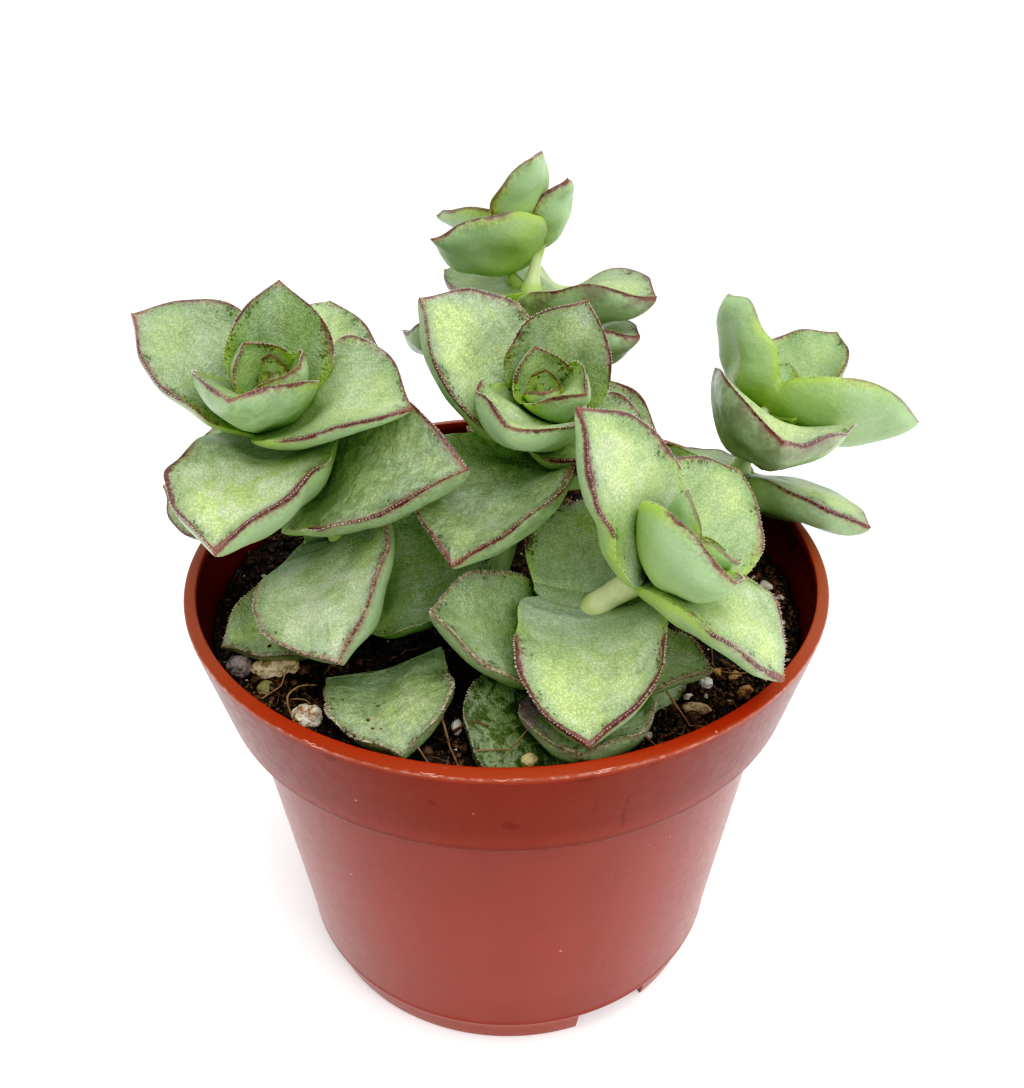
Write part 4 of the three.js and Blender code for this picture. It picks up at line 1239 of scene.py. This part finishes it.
def add_stem(shells, stem, settings):
    """The stem's tube, thicker at its joints and thinner at its tip."""
    curve = smooth_curve(stem["path"], 0.8)
    heights, shares = zip(*stem.get("girth", ((0, 1), (1, 1))))
    radii = mm(settings.stem_radius) * np.interp(curve[:, 2], heights, shares)
    joined = np.zeros(len(curve))
    for at, *_ in stem["pairs"]:
        joined = np.maximum(joined, np.exp(-(np.linalg.norm(curve - np.array(at), axis=1) / 1.7) ** 2))
    joined *= stem.get("knee", 0.9)
    radii += joined
    radii *= np.interp(np.arange(len(curve)), [len(curve) * 0.75, len(curve)], [1, 0.3])
    plain = dict.fromkeys(LEAF_VALUES, 0.0)
    plain.update(margin=5.0, along=np.append(np.repeat(joined, STEM_AROUND), [0, 0]), age=0.5,
                 glow=stem.get("pale", 0.3), warmth=0.5)
    shells.add_tube(curve, radii, STEM_AROUND, 1, **plain)


def leafy_stem(name, stem, settings, materials, seed):
    """One leafy stem: its tube, its pairs of leaves and their fringes."""
    random = np.random.default_rng(seed)
    shells = Shells()
    axis = np.array(stem["axis"], float)
    axis /= np.linalg.norm(axis)
    add_stem(shells, stem, settings)
    last = len(stem["pairs"]) - 1
    for number, (at, *leaves) in enumerate(stem["pairs"]):
        age = 1 - number / last if last > 1 else 1.0
        large = max(leaf[2] for leaf in leaves) > SMALL_LEAF
        made = []
        for which, leaf in enumerate(leaves):
            marks = dict(
                age=age, plum=float(np.interp(age, [0, 0.15, 0.3], [0.35, 0.8, 1.0])), crust=0.04 * age,
                wither=0.0, wet=0.0, blush=0.0, wax=0.25 * age,
                glow=float(np.interp(age, [0, 0.3], [0.25, 1.0])), warmth=random.uniform(0, 0.6),
            )
            marks.update(LEAF_MARKS[name].get((number, which), {}))
            made.append(leaf_rings(at, axis, leaf, large, settings, random, marks))
            if leaf[2] > BARE_LEAF:
                add_teeth(shells, made[-1][0], *made[-1][3], settings, random, marks)
        add_leaves(shells, np.array(at), axis, leaves, made)
    shells.piece(f"leafy_{name}", materials, "leaf", name)


class POTTED_OT_leafy_stems(bpy.types.Operator):
    """Add the six leafy stems, each with its crossed pairs of fleshy leaves"""
    bl_idname = "potted.leafy_stems"
    bl_label = "Leafy stems"

    def execute(self, context):
        settings = context.scene.potted_leaf
        materials = [leaf_material(settings), stem_material(settings), tooth_material()]
        for seed, (name, stem) in enumerate(STEMS.items(), start=STEM_SEED):
            leafy_stem(name, stem, settings, materials, seed)
        return {"FINISHED"}


# ------------------------------------------------------------------ peat, crumbs, fibres and grains
def soil_height(x, y):
    """The peat's surface: the frame's own hollows with a fine crumb over them."""
    relief = (0.45 * math.sin(0.31 * x + 1.1) * math.cos(0.27 * y) + 0.35 * math.sin(0.83 * x + 0.64 * y)
              + 0.2 * math.cos(1.3 * y - 0.9 * x))
    rough = noise.fractal(Vector((x * 0.35, y * 0.35, 1.7)), 0.75, 2.1, 5)
    return SOIL_LEVEL + relief * 0.8 + 0.85 * rough


class Ground:
    """The peat with the leafy stems over it, for laying things on."""

    def __init__(self):
        points, faces, count = [], [], 0
        for name in STEMS:
            mesh = bpy.data.objects[f"leafy_{name}"].data
            coordinates = np.empty(len(mesh.vertices) * 3, np.float32)
            mesh.vertices.foreach_get("co", coordinates)
            points.append((coordinates.reshape(-1, 3) - np.array(POT_AXIS)) / MM)
            faces += [[v + count for v in p.vertices] for p in mesh.polygons if p.material_index == 0]
            count += len(mesh.vertices)
        self.leaves = BVHTree.FromPolygons(np.vstack(points).tolist(), faces)

    def leaf_height(self, x, y, start, up, missing):
        """Height of the first leaf met going up or down from a height, or missing where there is none."""
        hit = self.leaves.ray_cast(Vector((x, y, start)), Vector((0, 0, up)))
        return hit[0].z if hit[0] is not None else missing

    def lowest_leaf(self, x, y):
        return self.leaf_height(x, y, 60, 1, 1000.0)

    def top(self, x, y):
        """Height of the peat or of the low leaf that lies over it."""
        return max(soil_height(x, y), self.leaf_height(x, y, 79, -1, 0))

    def spots(self, random, count, clearance):
        """Spots on the open peat, each with its height."""
        found = []
        while len(found) < count:
            radius, angle = STREWN_RADIUS * math.sqrt(random.uniform(0, 1)), random.uniform(0, FULL_TURN)
            x, y = radius * math.cos(angle), radius * math.sin(angle)
            z = soil_height(x, y)
            if self.lowest_leaf(x, y) > z + clearance:
                found.append((x, y, z))
        return found


class POTTED_OT_peat(bpy.types.Operator):
    """Add the peat, its loose crumbs, its fibres and its pale chips"""
    bl_idname = "potted.peat"
    bl_label = "Peat"

    def execute(self, context):
        settings = context.scene.potted_soil
        ground, random, peat = Ground(), np.random.default_rng(PEAT_SEED), peat_material(settings)
        self.add_bed(ground, peat)
        self.add_crumbs(settings, ground, random, peat)
        self.add_fibres(settings, ground, random)
        self.add_chips(settings, ground, random)
        return {"FINISHED"}

    def add_bed(self, ground, material):
        """The bed of peat as one closed body."""
        angles = np.linspace(0, FULL_TURN, BED_AROUND, endpoint=False)
        rows = [round_points(radius, angles, height) for radius, height in BED_SIDE]
        for radius in BED_RADIUS * (1 - (np.arange(BED_RINGS) / BED_RINGS) ** 1.15):
            row = round_points(radius, angles, 0.0)
            row[:, 2] = [min(soil_height(x, y), ground.lowest_leaf(x, y) - 0.05) for x, y, _ in row]
            rows.append(row)
        shells = Shells()
        shells.add_body(rows, ((0, 0, BED_SIDE[0][1]), (0, 0, soil_height(0, 0))), tone=0.0)
        shells.piece("peat_bed", [material], "peat", "soil")

    def add_crumbs(self, settings, ground, random, material):
        shells = Shells()
        ball, triangles = lump(2)
        for x, y, z in ground.spots(random, settings.crumbs, 2.0):
            size = 0.35 + 1.0 * random.random() ** 2.5
            points = crumb(random, ball, 0.72, ((0.7, 1.3), (0.7, 1.3), (0.55, 0.9)), size)
            tone = random.choice([0.0, 0.15, 0.4, 0.75], p=[0.45, 0.3, 0.17, 0.08])
            shells.add(points + (x, y, z + size * 0.2), triangles=triangles, tone=tone)
        for middle_x, middle_y, spread, count in SPILLS:
            for _ in range(count):
                x, y = middle_x + random.normal(0, spread / 2), middle_y + random.normal(0, spread / 2)
                top = ground.top(x, y)
                on_peat = top == soil_height(x, y)
                inside = math.hypot(x, y) < FIBRE_RADIUS
                if inside and (on_peat or x < SPILT_LEAVES and random.random() < 0.5):
                    size = random.uniform(0.2, 0.75 if on_peat else 0.4)
                    points = crumb(random, ball, 0.7, (1, (0.6, 1), 0.7), size) + (x, y, top + size * 0.3)
                    shells.add(points, triangles=triangles, tone=random.uniform(0.3, 1.2))
        shells.piece("peat_crumbs", [material], "peat")

    def add_fibres(self, settings, ground, random):
        shells = Shells()
        for x, y, _ in ground.spots(random, settings.fibres, 2.5):
            heading, bend = random.uniform(0, FULL_TURN), random.normal(0, 0.16)
            steps, lift = random.integers(6, 18), random.uniform(0, 1.6)
            line = []
            for step in range(steps):
                if math.hypot(x, y) > FIBRE_RADIUS:
                    break
                arch = lift * math.sin(math.pi * step / (steps - 1))
                line.append((x, y, min(soil_height(x, y) + 0.15 + arch, ground.lowest_leaf(x, y) - 0.3)))
                heading += bend + random.normal(0, 0.18)
                x, y = x + FIBRE_STEP * math.cos(heading), y + FIBRE_STEP * math.sin(heading)
            if len(line) > 4:
                girth = random.choice([0.06, 0.09, 0.16], p=[0.5, 0.35, 0.15])
                shells.add_tube(line, girth * np.linspace(1, 0.5, len(line)), 5, tone=random.uniform(0, 1))
        for corners, girth, arch, tone in ROOTLETS:
            line = smooth_curve([(x, y, 0) for x, y in corners], 0.5)
            # laid over what is below, smoothed over nine points
            resting = np.pad([ground.top(x, y) for x, y, _ in line], 4, "edge")
            resting = np.convolve(resting, np.ones(9) / 9, "valid")
            line[:, 2] = resting + girth + arch * np.sin(np.linspace(0, math.pi, len(line)))
            shells.add_tube(line, girth * np.linspace(1, 0.55, len(line)), 7, tone=tone)
        shells.piece("peat_fibres", [fibre_material(settings)], "peat")

    def add_chips(self, settings, ground, random):
        shells = Shells()
        ball, triangles = lump(2)
        for x, y, z in ground.spots(random, settings.chips, 2.0):
            if x < CHIPPED_PEAT and random.random() < 0.6:
                continue
            size = 0.2 + 0.6 * random.random() ** 2
            points = crumb(random, ball, 0.6, ((0.7, 1.4), (0.7, 1.2), (0.6, 0.9)), size)
            shells.add(points + (x, y, z + size * 0.35), triangles=triangles)
        for x, y, size, kind in LARGE_CHIPS:
            middle = (x, y, soil_height(x, y) + size * 0.3)
            points = crumb(random, ball, 0.65, (1.25, 0.9, 0.75), size) + middle
            shells.add(points, triangles=triangles, material=kind)
        pale = grain_material("perlite chips", settings.chip, paint("8f8672"))
        tan = grain_material("bark chips", settings.bark, paint("62472b"))
        shells.piece("perlite_chips", [pale, tan], "perlite")


class POTTED_OT_grains(bpy.types.Operator):
    """Add the nine larger grains of perlite and bark"""
    bl_idname = "potted.grains"
    bl_label = "Grains"

    def execute(self, context):
        ball, triangles = lump(5)
        for number, (name, (size, pale, dark, pores)) in enumerate(GRAINS.items()):
            *middle, width, depth, height, turn = size
            points = []
            for point in ball:
                spot = Vector(point * 1.7) + Vector((number * 7.1, 0, 0))
                dent = 0.93 + 0.13 * noise.fractal(spot, 0.8, 2.2, 5)
                dent -= 0.1 * pores * max(0, noise.cell(spot * 3))
                points.append(point * min(dent, 1.0))
            points = turn_about_z(np.array(points) * (width / 2, depth / 2, height / 2), turn) + middle
            shells = Shells()
            shells.add(points, triangles=triangles)
            slot = "bark" if name.startswith("bark") else "perlite"
            shells.piece(f"grain_{name}", [grain_material(name, paint(pale), paint(dark))], slot, name)
        return {"FINISHED"}


# ------------------------------------------------------------------ studio
# Soft lights: name, place to the right of, behind and above the pot's foot, side, and power in watts
SOFT_LIGHTS = (
    ("overhead", 150, -60, 1100, 1200, 8.0),
    ("front", 400, -950, 850, 900, 8.0),
)
LIT_HEIGHT = 80
# How the darkest tones are shown, as a camera's contrast shows them: (level, shown)
SHADOW_CURVE = ((0.03, 0.008), (0.08, 0.058), (0.2, 0.19))


class POTTED_OT_studio(bpy.types.Operator):
    """Add the camera, the pale floor and the soft lights"""
    bl_idname = "potted.studio"
    bl_label = "Studio"

    def execute(self, context):
        settings = context.scene.potted_studio
        self.add_camera(context, settings)
        self.add_floor(context, settings)
        self.add_world(context, settings)
        self.add_lights(context)
        return {"FINISHED"}

    def add_camera(self, context, settings):
        data = bpy.data.cameras.new("camera")
        data.lens = settings.camera_lens
        data.clip_start, data.clip_end = 0.01, 20
        camera = bpy.data.objects.new("camera", data)
        aim = POT_AXIS + Vector((settings.aim_side, 0, settings.aim_height))
        back = Vector((0, -math.cos(settings.camera_rise), math.sin(settings.camera_rise)))
        facing = (-back).to_track_quat("-Z", "Y").to_matrix().to_4x4()
        roll = Matrix.Rotation(settings.camera_roll, 4, "Z")
        camera.matrix_world = Matrix.Translation(aim + back * settings.camera_distance) @ facing @ roll
        context.scene.collection.objects.link(camera)
        context.scene.camera = camera

    def add_floor(self, context, settings):
        """A wide, flat, pale sheet."""
        shape = bmesh.new()
        bmesh.ops.create_grid(shape, x_segments=48, y_segments=48, size=1.6)
        mesh = bpy.data.meshes.new("floor")
        shape.to_mesh(mesh)
        shape.free()
        wiring = new_material("studio floor")
        place = wiring.place()
        shade = place.noise(60, 2)
        colour = layered(settings.floor, (shade.ease(0.3, 0.7, 0, 0.04), paint("e8e8e8")))
        mesh.materials.append(wiring.finish(
            base_color=colour, roughness=shade.ease(0.3, 0.7, 0.7, 0.8), emission_color=colour,
            emission_strength=settings.floor_glow, normal=place.noise(1.5, 2).bump(0.05, 0.05),
        ))
        floor = bpy.data.objects.new("floor", mesh)
        floor.location = (POT_AXIS.x, POT_AXIS.y, POT_AXIS.z - 0.0002)
        context.scene.collection.objects.link(floor)

    def add_world(self, context, settings):
        """Even white surroundings, dimmer on the side in front of the plant, and plain white behind it."""
        world = context.scene.world = bpy.data.worlds.new("studio")
        world.use_nodes = True
        world.node_tree.nodes.clear()
        wiring = Wiring(world.node_tree)
        x, y, z = wiring.out("TexCoord", output="Generated").axes()
        beside = x.math("ABSOLUTE").ease(0.4, 0.95, 0.0, 0.5) + x.ease(0.3, 0.95, 0.0, 0.35)
        dimmed = 1.0 + beside - y.ease(-0.2, -0.85) * z.ease(0.75, 0.2) * 0.75
        strength = dimmed * settings.surroundings | wiring.out("LightPath", output="Is Camera Ray")
        background = wiring.out("Background", {"Color": (1, 1, 1, 1), "Strength": strength})
        wiring.node("OutputWorld", {"Surface": background})

    def add_lights(self, context):
        """Soft square lights that face the plant, and a deeper tone for the shadows."""
        for name, side, depth, height, size, power in SOFT_LIGHTS:
            data = bpy.data.lights.new(name, "AREA")
            data.size, data.energy = size * MM, power
            light = bpy.data.objects.new(name, data)
            light.location = POT_AXIS + Vector((side, depth, height)) * MM
            facing = POT_AXIS + Vector((0, 0, LIT_HEIGHT)) * MM - light.location
            light.rotation_euler = facing.to_track_quat("-Z", "Y").to_euler()
            context.scene.collection.objects.link(light)
        view = context.scene.view_settings
        view.view_transform = "Standard"
        view.use_curve_mapping = True
        for level, shown in SHADOW_CURVE:
            view.curve_mapping.curves[3].points.new(level, shown)
        view.curve_mapping.update()


class POTTED_PT_panel(bpy.types.Panel):
    """Lists the potted plant's pieces"""
    bl_label = "Potted Plant"
    bl_idname = "POTTED_PT_panel"
    bl_space_type = "VIEW_3D"
    bl_region_type = "UI"
    bl_category = "Potted Plant"

    def draw(self, context):
        for operator in OPERATORS:
            self.layout.operator(operator.bl_idname)
        for name in SETTINGS:
            box = self.layout.box()
            group = getattr(context.scene, name)
            for key in group.bl_rna.properties.keys():
                if key not in ("rna_type", "name"):
                    box.prop(group, key)


SETTINGS = {
    "potted_pot": PotSettings,
    "potted_soil": SoilSettings,
    "potted_leaf": LeafSettings,
    "potted_studio": StudioSettings,
}
OPERATORS = (POTTED_OT_studio, POTTED_OT_pot, POTTED_OT_leafy_stems, POTTED_OT_peat, POTTED_OT_grains)
CLASSES = (*SETTINGS.values(), *OPERATORS, POTTED_PT_panel)


def register():
    for cls in CLASSES:
        bpy.utils.register_class(cls)
    for name, cls in SETTINGS.items():
        setattr(bpy.types.Scene, name, PointerProperty(type=cls))


def unregister():
    for name in SETTINGS:
        delattr(bpy.types.Scene, name)
    for cls in reversed(CLASSES):
        bpy.utils.unregister_class(cls)


def main():
    register()
    for operator in OPERATORS:
        getattr(bpy.ops.potted, operator.bl_idname.split(".")[1])()


if __name__ == "__main__":
    main()
